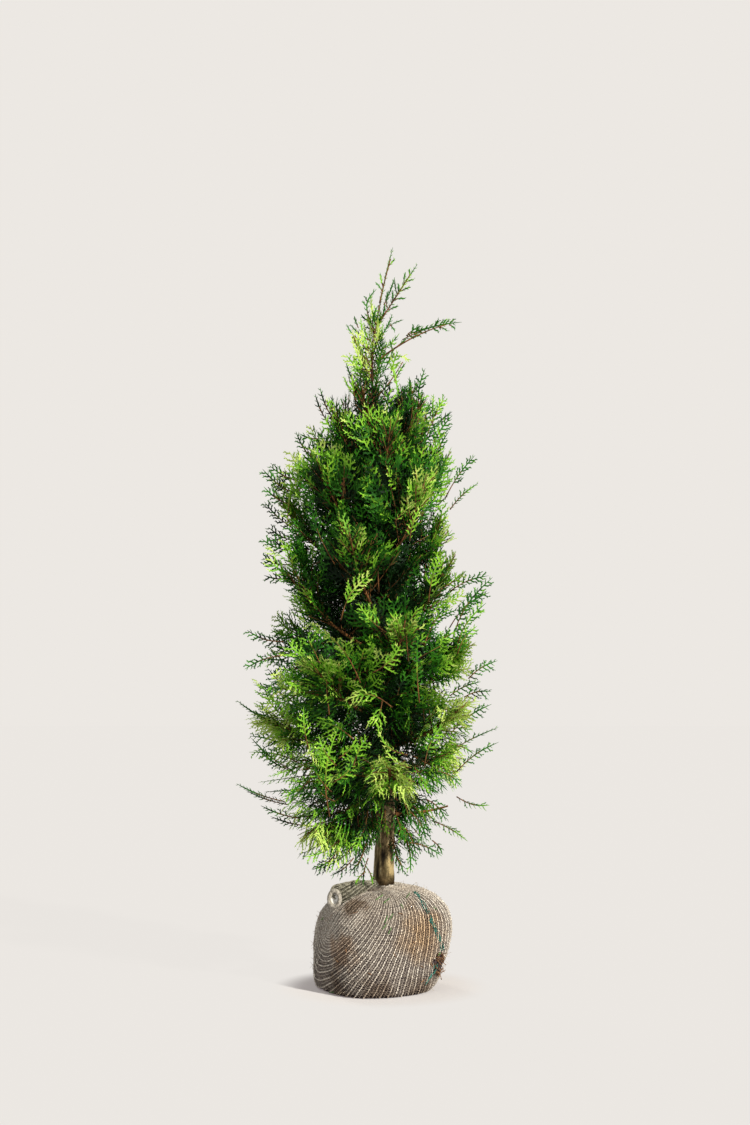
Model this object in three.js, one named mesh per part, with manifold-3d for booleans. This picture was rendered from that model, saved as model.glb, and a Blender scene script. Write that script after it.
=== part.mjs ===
// A young western red cedar, lifted from the nursery row with its root ball wrapped in knitted jute.
// Millimetres, +Z up, -Y is the front. The origin is the middle of the root ball's flat underside.
import * as THREE from "three";
import { mergeVertices } from "three/addons/utils/BufferGeometryUtils.js";
import Module from "manifold-3d";

const wasm = await Module();
wasm.setup();

// Driving dimensions
const CLEAR = 0.3; // gap between pieces that meet
const SEED = 2001;
const BALL = {
  halfWidth: 139,
  halfDepth: 131,
  turn: 28, // degrees that the rounded square is turned about Z
  middle: 112, // height of the centre that the wrap is drawn from
  up: 113,
  down: 126,
  plan: 3.0, // exponent of the plan outline
  upper: 2.6, // exponent of the side outline above the middle
  lower: 8, // and below it
};
// Places where the wrapped soil bulges or is pressed in: direction, share of the radius, and how wide.
const BALL_LUMPS = [
  { to: [-0.78, -0.1, 0.62], by: -0.1, wide: 0.16 },
  { to: [0.86, -0.1, 0.5], by: 0.05, wide: 0.16 },
  { to: [0.78, -0.1, -0.62], by: -0.15, wide: 0.1 },
  { to: [-0.1, 0.85, 0.5], by: 0.03, wide: 0.2 },
  { to: [-0.1, -0.9, 0.35], by: 0.03, wide: 0.15 },
];
const TRUNK_BENDS = [
  [4, 4, 196],
  [11, 2, 440],
  [-6, -3, 740],
  [-12, 3, 1060],
  [-21, 0, 1385],
  [-6, 0, 1500],
];
const TRUNK = { foot: 24, tip: 1.6, taper: 1.25, flare: 4, flareHeight: 22 };
const TAIL = { from: [-10, -30, 224], to: [-118, -56, 205], neck: 13, mouth: 22, wall: 4.5, deep: 30 };

// How far the crown reaches at each height: to the left, and to the right.
const CROWN = [
  [245, 110, 60],
  [285, 185, 100],
  [340, 215, 190],
  [400, 290, 232],
  [460, 318, 215],
  [570, 300, 285],
  [640, 315, 255],
  [790, 305, 215],
  [890, 258, 245],
  [1030, 240, 165],
  [1130, 275, 205],
  [1200, 200, 165],
  [1300, 152, 146],
  [1360, 96, 96],
  [1440, 80, 60],
];
// What a limb does when it leaves the trunk at each height: how far its tip rises above its foot, how far its
// elbow is lifted from the straight line and at which share of it, and its radius at the foot. Then, of its
// sprays, how far they hang over (or turn up), how strongly they grow upwards, and their size.
const HABIT = [
  [296, -16, 60, 0.5, 3.2, 0.5, -0.1, 1],
  [380, 60, -30, 0.52, 5.4, 0.4, 0, 1],
  [600, 170, -60, 0.58, 5.6, 0.1, 0.25, 1],
  [850, 262, -100, 0.6, 4.6, -0.1, 0.45, 1],
  [1140, 200, -70, 0.6, 2.8, -0.2, 0.5, 0.85],
  [1260, 120, -40, 0.58, 2.0, -0.2, 0.6, 0.44],
];
const LIMBS = {
  count: 34,
  lowest: 296, // height at which the first leaves the trunk
  highest: 1252,
  firstBearing: 300, // degrees from +X
  step: 137.5, // degrees from each limb to the next
  sway: 16, // how far chance turns a limb, in degrees, and lifts its tip
  lift: 24,
  woodyFrom: 5, // from this limb to woodyTo the inner part is a bare bough
  woodyTo: 22,
  wood: 0.34, // share of a limb that is a bare bough
  firstSpray: 0.24, // share of a limb without a bough where its sprays begin
  stemEnd: 0.8, // share of a limb where its last spray begins
  tipRadius: 0.8,
};
// The names of the limbs from the lowest up, with the number at which each band ends.
const BANDS = [
  ["skirt", 5],
  ["low", 10],
  ["middle", 16],
  ["shoulder", 22],
  ["upper", 28],
  ["neck", 34],
];
// Single shoots round the leader, by the same rule; size is the share of the usual length of their sprays.
const LEADER_SHOOTS = [
  { name: "leader_tip", turn: 0, from: 1500, tip: 1622, reach: 31, bow: 2, nod: 0, girth: 1.5, size: 0.42 },
  { name: "leader_second", turn: -12, from: 1456, tip: 1590, reach: 90, bow: -8, nod: 0, girth: 2, size: 0.42 },
  { name: "leader_arm", turn: -6, from: 1368, tip: 1462, reach: 198, bow: 34, nod: 0.1, girth: 2.6, size: 0.36 },
  { name: "leader_left", turn: 196, from: 1335, tip: 1456, reach: 52, bow: -14, nod: 0, girth: 2.2, size: 0.5 },
  { name: "leader_right", turn: 18, from: 1290, tip: 1402, reach: 84, bow: -20, nod: 0, girth: 2.2, size: 0.5 },
];
const SPRAY = {
  perLimb: 12,
  fork: [28, 54], // least and most angle to the limb, in degrees
  roll: 55, // how far chance turns a spray round the limb, to either side
  tilt: 60, // how far chance tips a spray about its own rib, to either side
  shortest: 82, // length on a limb of no length, with what each millimetre of limb adds
  growth: 0.45,
  taper: 0.7, // how much shorter the sprays grow from the foot of a limb to its tip
  width: 0.46, // half width as a share of the length
  endWidth: 0.26, // the same for the spray that ends a limb
  sunk: 0.8, // how far the root's point lies past the middle of its stem
  bare: 7, // length of the rib before its first side shoot
  rib: 2.6, // half width of the solid rib
  thick: 2.8,
  teeth: 3, // pairs of side shoots
  forward: 1.05, // how far a side shoot leans on towards the tip, as a share of its spread
};
const SMALLER = [1, 0.9, 0.8, 0.7, 0.6, 0.5, 0.42]; // sizes tried until a spray keeps to its own space
const ROOM = {
  root: 12, // how far from its root a spray may touch its own stem
  untested: 9, // how near its root a spray isn't tested
  crown: [-20, 16], // least and most that a spray may stand out of the crown's outline
  space: 2.5, // least distance to the other masses' spaces, the wood and the wrap
  wood: 2,
  wrap: 5,
};

const bark = new THREE.MeshStandardMaterial({ color: 0x7a5a3c, roughness: 0.9 });
const twigBark = new THREE.MeshStandardMaterial({ color: 0x8a5a34, roughness: 0.85 });
const foliage = new THREE.MeshStandardMaterial({ color: 0x2f6b1c, roughness: 0.7 });
const jute = new THREE.MeshStandardMaterial({ color: 0xa2907c, roughness: 0.95 });

const { clamp, lerp, smoothstep, degToRad: radians } = THREE.MathUtils;
const vector = (list) => new THREE.Vector3(...list);
const UP = vector([0, 0, 1]);

// A number from 0 to 1 that is always the same for the same limb, spray and draw.
function chance(limb, spray, draw) {
  let h = Math.imul(limb + SEED, 0x9e3779b1);
  h ^= Math.imul(spray + 1, 0x85ebca6b) ^ Math.imul(draw + 1, 0xc2b2ae35);
  h = Math.imul(h ^ (h >>> 16), 0x7feb352d);
  h = Math.imul(h ^ (h >>> 15), 0x846ca68b);
  return ((h ^ (h >>> 16)) >>> 0) / 4294967296;
}

function solidOf(geometry) {
  const bare = geometry.clone();
  bare.deleteAttribute("normal");
  bare.deleteAttribute("uv");
  const merged = mergeVertices(bare, 1e-4);
  return new wasm.Manifold(
    new wasm.Mesh({
      numProp: 3,
      vertProperties: merged.attributes.position.array,
      triVerts: new Uint32Array(merged.index.array),
    }),
  );
}

function geometryOf(solid) {
  const mesh = solid.getMesh();
  const geometry = new THREE.BufferGeometry();
  geometry.setAttribute("position", new THREE.BufferAttribute(mesh.vertProperties, 3));
  geometry.setIndex(new THREE.BufferAttribute(mesh.triVerts, 1));
  geometry.computeVertexNormals();
  return geometry;
}

// Drops the loose scraps that a cut leaves.
function largestOf(solid) {
  return solid.decompose().reduce((best, piece) => (piece.volume() > best.volume() ? piece : best));
}

function namedMesh(name, solid, material) {
  const mesh = new THREE.Mesh(geometryOf(solid), material);
  mesh.name = name;
  return mesh;
}

// A closed cylinder of radius 1 bent along a curve, with its own radius at each step.
function bentCylinder(curve, radiusAt, sides, steps) {
  const geometry = new THREE.CylinderGeometry(1, 1, 1, sides, steps);
  const frames = curve.computeFrenetFrames(steps, false);
  const place = geometry.attributes.position;
  const point = new THREE.Vector3();
  for (let i = 0; i < place.count; i++) {
    const step = Math.round((0.5 + place.getY(i)) * steps);
    const radius = radiusAt(step / steps);
    point
      .copy(curve.getPoint(step / steps))
      .addScaledVector(frames.binormals[step], place.getX(i) * radius)
      .addScaledVector(frames.normals[step], place.getZ(i) * radius);
    place.setXYZ(i, point.x, point.y, point.z);
  }
  return geometry;
}

// Root ball

// How far the wrap lies from the ball's centre in a direction.
function ballRadius(direction) {
  const turn = radians(BALL.turn);
  const across = Math.abs(direction.x * Math.cos(turn) + direction.y * Math.sin(turn)) / BALL.halfWidth;
  const along = Math.abs(direction.y * Math.cos(turn) - direction.x * Math.sin(turn)) / BALL.halfDepth;
  const plan = (across ** BALL.plan + along ** BALL.plan) ** (1 / BALL.plan);
  const rise = Math.abs(direction.z) / (direction.z > 0 ? BALL.up : BALL.down);
  const bend = direction.z > 0 ? BALL.upper : BALL.lower;
  let radius = (plan ** bend + rise ** bend) ** (-1 / bend);
  for (const lump of BALL_LUMPS)
    radius *= 1 + lump.by * Math.exp((direction.dot(vector(lump.to).normalize()) - 1) / lump.wide);
  return direction.z < 0 ? Math.min(radius, BALL.middle / -direction.z) : radius;
}

function ballSolid(extra) {
  const geometry = new THREE.SphereGeometry(1, 30, 17).rotateX(Math.PI / 2);
  const place = geometry.attributes.position;
  for (let i = 0; i < place.count; i++) {
    const direction = new THREE.Vector3().fromBufferAttribute(place, i).normalize();
    const point = direction.clone().multiplyScalar(ballRadius(direction) + extra);
    const height = Math.max(0, point.z + BALL.middle);
    place.setXYZ(i, point.x, point.y, height < 0.01 ? 0 : height);
  }
  return solidOf(geometry);
}

// The twisted end of the wrap, laid over on the ball's left shoulder with its mouth open.
function tailSolid() {
  const curve = new THREE.QuadraticBezierCurve3(
    vector(TAIL.from),
    vector(TAIL.from).lerp(vector(TAIL.to), 0.5).add(new THREE.Vector3(0, -6, 4)),
    vector(TAIL.to),
  );
  const swell = (t) => TAIL.neck + (TAIL.mouth - TAIL.neck) * Math.min(1, 2.2 * t);
  const outer = solidOf(bentCylinder(curve, swell, 12, 6));
  const inwards = vector(TAIL.from).sub(vector(TAIL.to)).setLength(TAIL.deep);
  const mouth = vector(TAIL.to).addScaledVector(inwards, -0.2);
  const hollow = new THREE.LineCurve3(mouth, vector(TAIL.to).add(inwards));
  return outer.subtract(solidOf(bentCylinder(hollow, () => TAIL.mouth - TAIL.wall, 12, 1)));
}

// Trunk

const trunkFoot = TRUNK_BENDS[0][2];
const trunkTop = TRUNK_BENDS[TRUNK_BENDS.length - 1][2];

// The middle of the trunk at a height: it swings smoothly from each bend to the next.
function trunkAt(height) {
  const z = clamp(height, trunkFoot, trunkTop);
  const i = TRUNK_BENDS.findIndex((bend, k) => k > 0 && z <= bend[2]);
  const [low, high] = [vector(TRUNK_BENDS[i - 1]), vector(TRUNK_BENDS[i])];
  return low.clone().lerp(high, smoothstep(z, low.z, high.z)).setZ(z);
}

function trunkRadius(height) {
  const share = clamp((height - trunkFoot) / (trunkTop - trunkFoot), 0, 1);
  const flare = TRUNK.flare * Math.exp((trunkFoot - height) / TRUNK.flareHeight);
  return TRUNK.tip + (TRUNK.foot - TRUNK.tip) * (1 - share) ** TRUNK.taper + flare;
}

function trunkSolid(extra) {
  const steps = 24;
  const heightAt = (t) => trunkFoot + (trunkTop - trunkFoot) * t;
  const middles = Array.from({ length: steps + 1 }, (_, i) => trunkAt(heightAt(i / steps)));
  const radiusAt = (t) => trunkRadius(heightAt(t)) + extra;
  return solidOf(bentCylinder(new THREE.CatmullRomCurve3(middles), radiusAt, 10, steps));
}

// Limbs

// The values of a table at a height, on straight lines between its rows.
function rowAt(table, height) {
  const z = clamp(height, table[0][0], table[table.length - 1][0]);
  const i = table.findIndex((row, k) => k > 0 && z <= row[0]);
  const share = (z - table[i - 1][0]) / (table[i][0] - table[i - 1][0]);
  return table[i].map((value, k) => lerp(table[i - 1][k], value, share));
}

// How far the crown reaches from its middle at a height, towards a point on the unit circle.
function crownReach(height, outward) {
  const [, left, right] = rowAt(CROWN, height);
  return lerp(left, right, 0.5 + 0.5 * outward.x);
}

// The curve, names and manner of one limb: a bough with its foliage, or foliage that leaves the trunk itself.
function makeLimb(index, limb) {
  const outward = new THREE.Vector3(Math.cos(limb.bearing), Math.sin(limb.bearing), 0);
  const start = trunkAt(limb.from);
  const tip = outward.clone().multiplyScalar(limb.reach ?? crownReach(limb.tip, outward));
  if (limb.reach) tip.add(start);
  tip.setZ(limb.tip);
  const bend = start.clone().lerp(tip, limb.elbow ?? 0.5);
  bend.z += limb.bow;
  const side = new THREE.Vector3(-outward.y, outward.x, 0);
  const curve = new THREE.QuadraticBezierCurve3(start, bend, tip);
  return { pull: 0, ...limb, index, outward, side, curve, length: curve.getLength() };
}

// Limbs leave the trunk one above the other, each turned by the same angle from the last.
function makeLimbs() {
  const limbs = [];
  for (let i = 0; i < LIMBS.count; i++) {
    const share = (i + 0.5 * (chance(i, 0, 0) - 0.5)) / (LIMBS.count - 1);
    const from = LIMBS.lowest + (LIMBS.highest - LIMBS.lowest) * clamp(share, 0, 1);
    const [, rise, bow, elbow, girth, nod, pull, size] = rowAt(HABIT, from);
    const band = BANDS.findIndex(([, end]) => i < end);
    const name = `${BANDS[band][0]}_${i - (band ? BANDS[band - 1][1] : 0) + 1}`;
    const bearing = radians(LIMBS.firstBearing + i * LIMBS.step + LIMBS.sway * (chance(i, 0, 1) - 0.5));
    const tip = from + rise + LIMBS.lift * (chance(i, 0, 2) - 0.5);
    const wood = i >= LIMBS.woodyFrom && i <= LIMBS.woodyTo ? LIMBS.wood : 0;
    limbs.push(makeLimb(i, { name, from, tip, bearing, bow, elbow, girth, nod, pull, size, wood }));
  }
  for (const shoot of LEADER_SHOOTS)
    limbs.push(makeLimb(limbs.length, { ...shoot, bearing: radians(shoot.turn), wood: 0 }));
  return limbs;
}

const limbRadius = (limb, t) => lerp(limb.girth, LIMBS.tipRadius, t ** 0.9);

// Points along a curve from one share of it to another.
function pointsAlong(curve, from, to, steps) {
  return Array.from({ length: steps + 1 }, (_, i) => curve.getPoint(lerp(from, to, i / steps)));
}

// The wood of a limb from one share of it to another.
function limbSolid(limb, from, to, sides, steps) {
  const curve = new THREE.CatmullRomCurve3(pointsAlong(limb.curve, from, to, 12));
  return solidOf(bentCylinder(curve, (t) => limbRadius(limb, lerp(from, to, t)), sides, steps));
}

// Sprays

// Where a spray leaves its limb, which way it grows, how it lies and how long it is.
function sprayFrame(limb, place) {
  const last = place === SPRAY.perLimb - 1;
  const first = Math.max(limb.wood, LIMBS.firstSpray);
  const t = last ? LIMBS.stemEnd : lerp(first, LIMBS.stemEnd, (place + 0.5) / SPRAY.perLimb);
  const draw = (k) => chance(limb.index, place, k);
  const base = limb.curve.getPoint(t);
  const along = limb.curve.getTangent(t);
  const above = along.clone().cross(limb.side);
  const hand = place % 2 ? 1 : -1;
  const fork = last ? 0 : radians(lerp(...SPRAY.fork, draw(3)));
  const roll = radians(SPRAY.roll * (2 * draw(4) - 1));
  const direction = along
    .clone()
    .multiplyScalar(Math.cos(fork))
    .addScaledVector(limb.side, Math.sin(fork) * hand * Math.cos(roll))
    .addScaledVector(above, Math.sin(fork) * Math.sin(roll))
    .normalize();
  if (!last) direction.addScaledVector(UP, limb.pull).normalize();
  above.addScaledVector(direction, -above.dot(direction)).normalize();
  const flat = above.clone().applyAxisAngle(direction, radians(SPRAY.tilt * (2 * draw(5) - 1)));
  const across = flat.cross(direction).normalize();
  const normal = direction.clone().cross(across).normalize();
  const full = limb.size * (SPRAY.shortest + SPRAY.growth * limb.length) * (1.1 - SPRAY.taper * t);
  const length = last ? base.distanceTo(limb.curve.getPoint(1)) : full * (0.84 + 0.32 * draw(6));
  const nod = last ? 0 : limb.nod * (0.6 + 0.8 * draw(7));
  const room = lerp(...ROOM.crown, draw(8));
  return { base, direction, across, normal, length, nod, room, width: last ? SPRAY.endWidth : SPRAY.width };
}

// A point of a spray's rib: it grows straight out and hangs over towards its end.
function ribPoint(frame, share, length) {
  return frame.base
    .clone()
    .addScaledVector(frame.direction, share * length)
    .addScaledVector(UP, -frame.nod * length * share * share * 0.55);
}

// A toothed blade: a thin three-sided rib, pointed at both ends, with pairs of pointed side shoots.
function sprayGeometry(frame, length) {
  const points = [];
  const faces = [];
  const put = (point) => points.push(point) - 1;
  const share = (k) => (SPRAY.bare + (length - SPRAY.bare) * ((0.9 * k) / (SPRAY.teeth + 0.3))) / length;
  const ring = (k) => {
    const rib = ribPoint(frame, share(k), length);
    const half = SPRAY.rib * (1.1 - 0.5 * share(k));
    const ridge = SPRAY.thick * (0.7 - 0.3 * share(k));
    const under = rib.clone().addScaledVector(frame.normal, ridge - SPRAY.thick);
    const left = under.clone().addScaledVector(frame.across, -half);
    const right = under.clone().addScaledVector(frame.across, half);
    return [put(left), put(right), put(rib.addScaledVector(frame.normal, ridge))];
  };
  const root = put(ribPoint(frame, -SPRAY.sunk / length, length));
  let [left, right, top] = ring(0);
  faces.push([right, left, root], [top, right, root], [left, top, root]);
  for (let k = 1; k <= SPRAY.teeth; k++) {
    const [nextLeft, nextRight, nextTop] = ring(k);
    faces.push([left, right, nextRight], [left, nextRight, nextLeft]);
    const at = share(k - 0.5);
    const spread = frame.width * length * Math.sin(Math.PI * (0.2 + 0.7 * at)) * (1.15 - 0.45 * at);
    for (const hand of [-1, 1]) {
      const shoot = ribPoint(frame, at, length).addScaledVector(frame.across, hand * spread);
      shoot.addScaledVector(frame.direction, spread * SPRAY.forward);
      shoot.z -= frame.nod * spread * 0.25;
      const tip = put(shoot);
      const [near, far] = hand > 0 ? [right, nextRight] : [left, nextLeft];
      const edges = [[near, top], [top, nextTop], [nextTop, far], [far, near]];
      for (const [a, b] of edges) faces.push(hand > 0 ? [a, b, tip] : [b, a, tip]);
    }
    [left, right, top] = [nextLeft, nextRight, nextTop];
  }
  const end = put(ribPoint(frame, 1, length));
  faces.push([left, right, end], [right, top, end], [top, left, end]);
  const geometry = new THREE.BufferGeometry().setFromPoints(points);
  geometry.setIndex(faces.flat());
  return geometry;
}

// Room for each mass

const segmentPoint = new THREE.Vector3();

function distanceToLine(point, line) {
  let least = Infinity;
  for (let i = 1; i < line.length; i++) {
    const part = new THREE.Line3(line[i - 1], line[i]);
    part.closestPointToPoint(point, true, segmentPoint);
    least = Math.min(least, segmentPoint.distanceTo(point));
  }
  return least;
}

// Whether a point is nearer its own mass's stem than any other's.
function inOwnSpace(point, limb, limbs) {
  const own = distanceToLine(point, limb.axis);
  return limbs.every((other) => other === limb || distanceToLine(point, other.axis) > own + ROOM.space);
}

function inCrown(point, limb, room) {
  if (limb.reach) return true;
  const outward = point.clone().setZ(0).normalize();
  return Math.hypot(point.x, point.y) < crownReach(point.z, outward) + room;
}

function clearOfWood(point, limbs) {
  const trunk = trunkAt(point.z);
  const beside = Math.hypot(point.x - trunk.x, point.y - trunk.y);
  if (point.z < trunkTop + ROOM.wood && beside < trunkRadius(point.z) + ROOM.wood) return false;
  const boughs = limbs.filter((other) => other.wood);
  return boughs.every((other) => distanceToLine(point, other.boughLine) > other.girth + ROOM.wood);
}

function clearOfWrap(point) {
  const from = point.clone().sub(new THREE.Vector3(0, 0, BALL.middle));
  const beside = distanceToLine(point, [vector(TAIL.from), vector(TAIL.to)]);
  return from.length() > ballRadius(from.clone().normalize()) + ROOM.wrap && beside > TAIL.mouth + ROOM.wrap;
}

// Points of a spray where its room is tested: its corners, and points on the way from them to its root.
function testPoints(geometry, base) {
  const place = geometry.attributes.position;
  const points = [];
  for (let i = 0; i < place.count; i++) {
    const corner = new THREE.Vector3().fromBufferAttribute(place, i);
    points.push(corner, corner.clone().lerp(base, 0.5), corner.clone().lerp(base, 0.25));
  }
  return points.filter((point) => point.distanceTo(base) > ROOM.untested);
}

// Whether a spray touches its own mass only round its root.
function onlyRootTouches(spray, mass, base) {
  const common = mass.intersect(spray);
  if (common.isEmpty()) return false;
  const { min, max } = common.boundingBox();
  return vector(min).distanceTo(base) < ROOM.root && vector(max).distanceTo(base) < ROOM.root;
}

// The mass with one more spray on it, at the largest size that keeps to its own space.
function withSpray(mass, limb, place, limbs) {
  const frame = sprayFrame(limb, place);
  for (const scale of SMALLER) {
    const geometry = sprayGeometry(frame, frame.length * scale);
    const fits = testPoints(geometry, frame.base).every(
      (p) => inCrown(p, limb, frame.room) && clearOfWrap(p) && clearOfWood(p, limbs) && inOwnSpace(p, limb, limbs),
    );
    if (!fits) continue;
    const spray = solidOf(geometry);
    if (onlyRootTouches(spray, mass, frame.base)) return mass.add(spray);
  }
  return mass;
}

// A mass of foliage: one stem with toothed sprays fused to it.
function foliageSolid(limb, limbs, trunkRoom) {
  const start = limb.wood && limb.wood + CLEAR / limb.length;
  let mass = limbSolid(limb, start, LIMBS.stemEnd + 0.03, 3, 4);
  mass = withSpray(mass, limb, SPRAY.perLimb - 1, limbs);
  for (let place = 0; place < SPRAY.perLimb - 1; place++) mass = withSpray(mass, limb, place, limbs);
  return largestOf(mass.subtract(trunkRoom));
}

function buildTree() {
  const tree = new THREE.Group();
  const trunkRoom = trunkSolid(CLEAR);
  const tail = largestOf(tailSolid().subtract(ballSolid(CLEAR)).subtract(trunkRoom));
  tree.add(namedMesh("root_ball", ballSolid(0).subtract(trunkRoom), jute));
  tree.add(namedMesh("wrap_tail", tail, jute));
  tree.add(namedMesh("trunk", trunkSolid(0), bark));
  const limbs = makeLimbs();
  for (const limb of limbs) {
    limb.boughLine = pointsAlong(limb.curve, 0, limb.wood, 6);
    limb.axis = pointsAlong(limb.curve, limb.wood, 1, 8);
  }
  for (const limb of limbs) {
    if (limb.wood) {
      const bough = largestOf(limbSolid(limb, 0, limb.wood, 5, 4).subtract(trunkRoom));
      tree.add(namedMesh(`${limb.name}_bough`, bough, twigBark));
    }
    tree.add(namedMesh(`${limb.name}_foliage`, foliageSolid(limb, limbs, trunkRoom), foliage));
  }
  return tree;
}

export default buildTree();
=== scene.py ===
# The looks of the root-balled western red cedar: foliage, bark, knitted jute wrap, light and camera.
# Lengths in the growth rule are millimetres, as in the part's source; meshes are made in metres.
import math

import bpy
import numpy as np
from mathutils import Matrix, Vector, noise


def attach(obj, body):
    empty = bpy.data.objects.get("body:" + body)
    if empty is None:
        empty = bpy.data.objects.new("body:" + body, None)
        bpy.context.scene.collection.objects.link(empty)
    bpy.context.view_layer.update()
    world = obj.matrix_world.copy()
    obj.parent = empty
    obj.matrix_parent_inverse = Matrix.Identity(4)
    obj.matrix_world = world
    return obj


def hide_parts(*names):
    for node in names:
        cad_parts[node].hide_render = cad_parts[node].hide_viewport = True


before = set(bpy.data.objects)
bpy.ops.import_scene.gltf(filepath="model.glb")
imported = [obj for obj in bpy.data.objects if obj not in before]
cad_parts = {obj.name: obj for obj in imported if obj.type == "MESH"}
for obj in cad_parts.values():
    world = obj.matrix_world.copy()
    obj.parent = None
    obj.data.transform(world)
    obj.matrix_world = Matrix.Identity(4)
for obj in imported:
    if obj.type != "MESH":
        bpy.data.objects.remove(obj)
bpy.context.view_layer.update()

MM = 0.001
SEED = 2001
noise.seed_set(SEED)
UP = np.array([0.0, 0.0, 1.0])

# Sizes shared with the part's source
BALL = dict(half_width=139, half_depth=131, turn=28, middle=112, up=113, down=126,
            plan=3.0, upper=2.6, lower=8)
BALL_LUMPS = [
    ((-0.78, -0.1, 0.62), -0.1, 0.16),
    ((0.86, -0.1, 0.5), 0.05, 0.16),
    ((0.78, -0.1, -0.62), -0.15, 0.1),
    ((-0.1, 0.85, 0.5), 0.03, 0.2),
    ((-0.1, -0.9, 0.35), 0.03, 0.15),
]
TRUNK_BENDS = [(4, 4, 196), (11, 2, 440), (-6, -3, 740), (-12, 3, 1060), (-21, 0, 1385), (-6, 0, 1500)]
TRUNK = dict(foot=24, tip=1.6, taper=1.25, flare=4, flare_height=22)
TAIL = dict(start=(-10, -30, 224), end=(-118, -56, 205), bend=(0, -6, 4), neck=13, mouth=22)
# The crown's outline: height, reach on the left, reach on the right
CROWN = [
    (245, 110, 60), (285, 185, 100), (340, 215, 190), (400, 290, 232), (460, 318, 215), (570, 300, 285),
    (640, 315, 255), (790, 305, 215), (890, 258, 245), (1030, 240, 165), (1130, 275, 205), (1200, 200, 165),
    (1300, 152, 146), (1360, 96, 96), (1440, 80, 60),
]
# How limbs grow by the height they leave the trunk at: rise, bow, place of the bend, girth, then the nod,
# upward pull and size of their sprays
HABIT = [
    (296, -16, 60, 0.5, 3.2, 0.5, -0.1, 1),
    (380, 60, -30, 0.52, 5.4, 0.4, 0, 1),
    (600, 170, -60, 0.58, 5.6, 0.1, 0.25, 1),
    (850, 262, -100, 0.6, 4.6, -0.1, 0.45, 1),
    (1140, 200, -70, 0.6, 2.8, -0.2, 0.5, 0.85),
    (1260, 120, -40, 0.58, 2.0, -0.2, 0.6, 0.44),
]
LIMBS = dict(count=34, lowest=296, highest=1252, first_bearing=300, step=137.5, sway=16, lift=24,
             woody_from=5, woody_to=22, wood=0.34, first_spray=0.24, stem_end=0.8, tip_radius=0.8)
BANDS = [("skirt", 5), ("low", 10), ("middle", 16), ("shoulder", 22), ("upper", 28), ("neck", 34)]
LEADER_SHOOTS = [
    dict(name="leader_tip", turn=0, low=1500, tip=1622, reach=31, bow=2, nod=0, girth=1.5, size=0.42),
    dict(name="leader_second", turn=-12, low=1456, tip=1590, reach=90, bow=-8, nod=0, girth=2, size=0.42),
    dict(name="leader_arm", turn=-6, low=1368, tip=1462, reach=198, bow=34, nod=0.1, girth=2.6, size=0.36),
    dict(name="leader_left", turn=196, low=1335, tip=1456, reach=52, bow=-14, nod=0, girth=2.2, size=0.5),
    dict(name="leader_right", turn=18, low=1290, tip=1402, reach=84, bow=-20, nod=0, girth=2.2, size=0.5),
]
SPRAY = dict(per_limb=12, fork=(28, 54), roll=55, tilt=60, shortest=82, growth=0.45, at_trunk=1.1, taper=0.7,
             least=0.84, more=0.32, least_nod=0.6, more_nod=0.8, width=0.46, end_width=0.26, bare=7,
             forward=1.05, drop=0.55)
SMALLER = (1, 0.9, 0.8, 0.7, 0.6, 0.5, 0.42)
CROWN_ROOM = (-85, 5)

# The crown's leafy outline, finer than the source's
# How far the leaves keep inside the source's outline: height, on the left, on the right
TRIM = [
    (255, 60, 150), (300, 60, 140), (345, 62, 98), (390, 60, 88), (440, 52, 84), (500, 38, 84),
    (560, 28, 70), (640, 24, 22), (720, 14, 14), (790, 50, 35), (870, 24, 10), (960, -14, 45),
    (1020, 16, 45), (1100, 14, 32), (1180, 42, 14), (1260, 20, 2),
]
CONE = dict(start=1245, narrowing=0.6)  # above this height the leaves keep in more and more
OPENING = dict(x=(-22, 27), z=(200, 335))  # the place that stays free before the trunk's foot
LOW, SHOULDER, NECK, LEADER = 640, 1130, 1250, 1380  # heights that part the crown
LEAF_BANDS = (560, 920)  # heights that part the pieces of leaves
BAND_NAMES = ("low", "middle", "high")

# Leaves, from the spray to the teeth of a shoot
EXTRA_SPRAYS = (2, 1)  # sprays added between each pair of the source's, on the low limbs and on the others
INNER = dict(count=(11, 8), highest=1150, inmost=0.05, fork=(50, 85), roll=(10, 170), size=0.72)
FROND = dict(gap=46, fork=37, fork_spread=6, lean=0.16, twist=24, bow=0.12, sizes=(0.78, 1.1), until=0.94,
             end=0.6, alone=0.06, shortest_parent=85, rise=0.35, droop=0.4)
STEM = (1.1, 1.1, 1.3, 1.7, 1.8, 1.4, 0.3)  # half-widths along a frond's stem
SHOOT = dict(gap=11, fork=40, fork_spread=5, shift=0.012, until=0.97, bow=0.14, ruffle=0.2, share=0.4,
             longest=40, shortest=6, sizes=(0.6, 1.2), width=4.0, sagging_width=0.8, narrowing=0.85,
             full_width_from=16, steps=3)
TOOTH = dict(gap=8.5, start=4, until=0.85, from_length=12, fork=33, fork_spread=6, forward=0.1, longest=8.0,
             shortest=5.0, sizes=(0.8, 1.2), width=3.0, waist=0.4, cup=0.12)
OUT = dict(frond=0.6, shoot=0.4, tooth=0.25)  # how much each adds to the place out that the tone goes by
DRAWS = dict(leaves=1000, tints=77)  # spacing of the sprays' seeds
# How much the leaves hang: from none at the top height to full at the lower one
HANG = dict(top=720, full=380, sag=0.6, longest=1.4, share=1.35, teeth=0.75)
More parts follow.
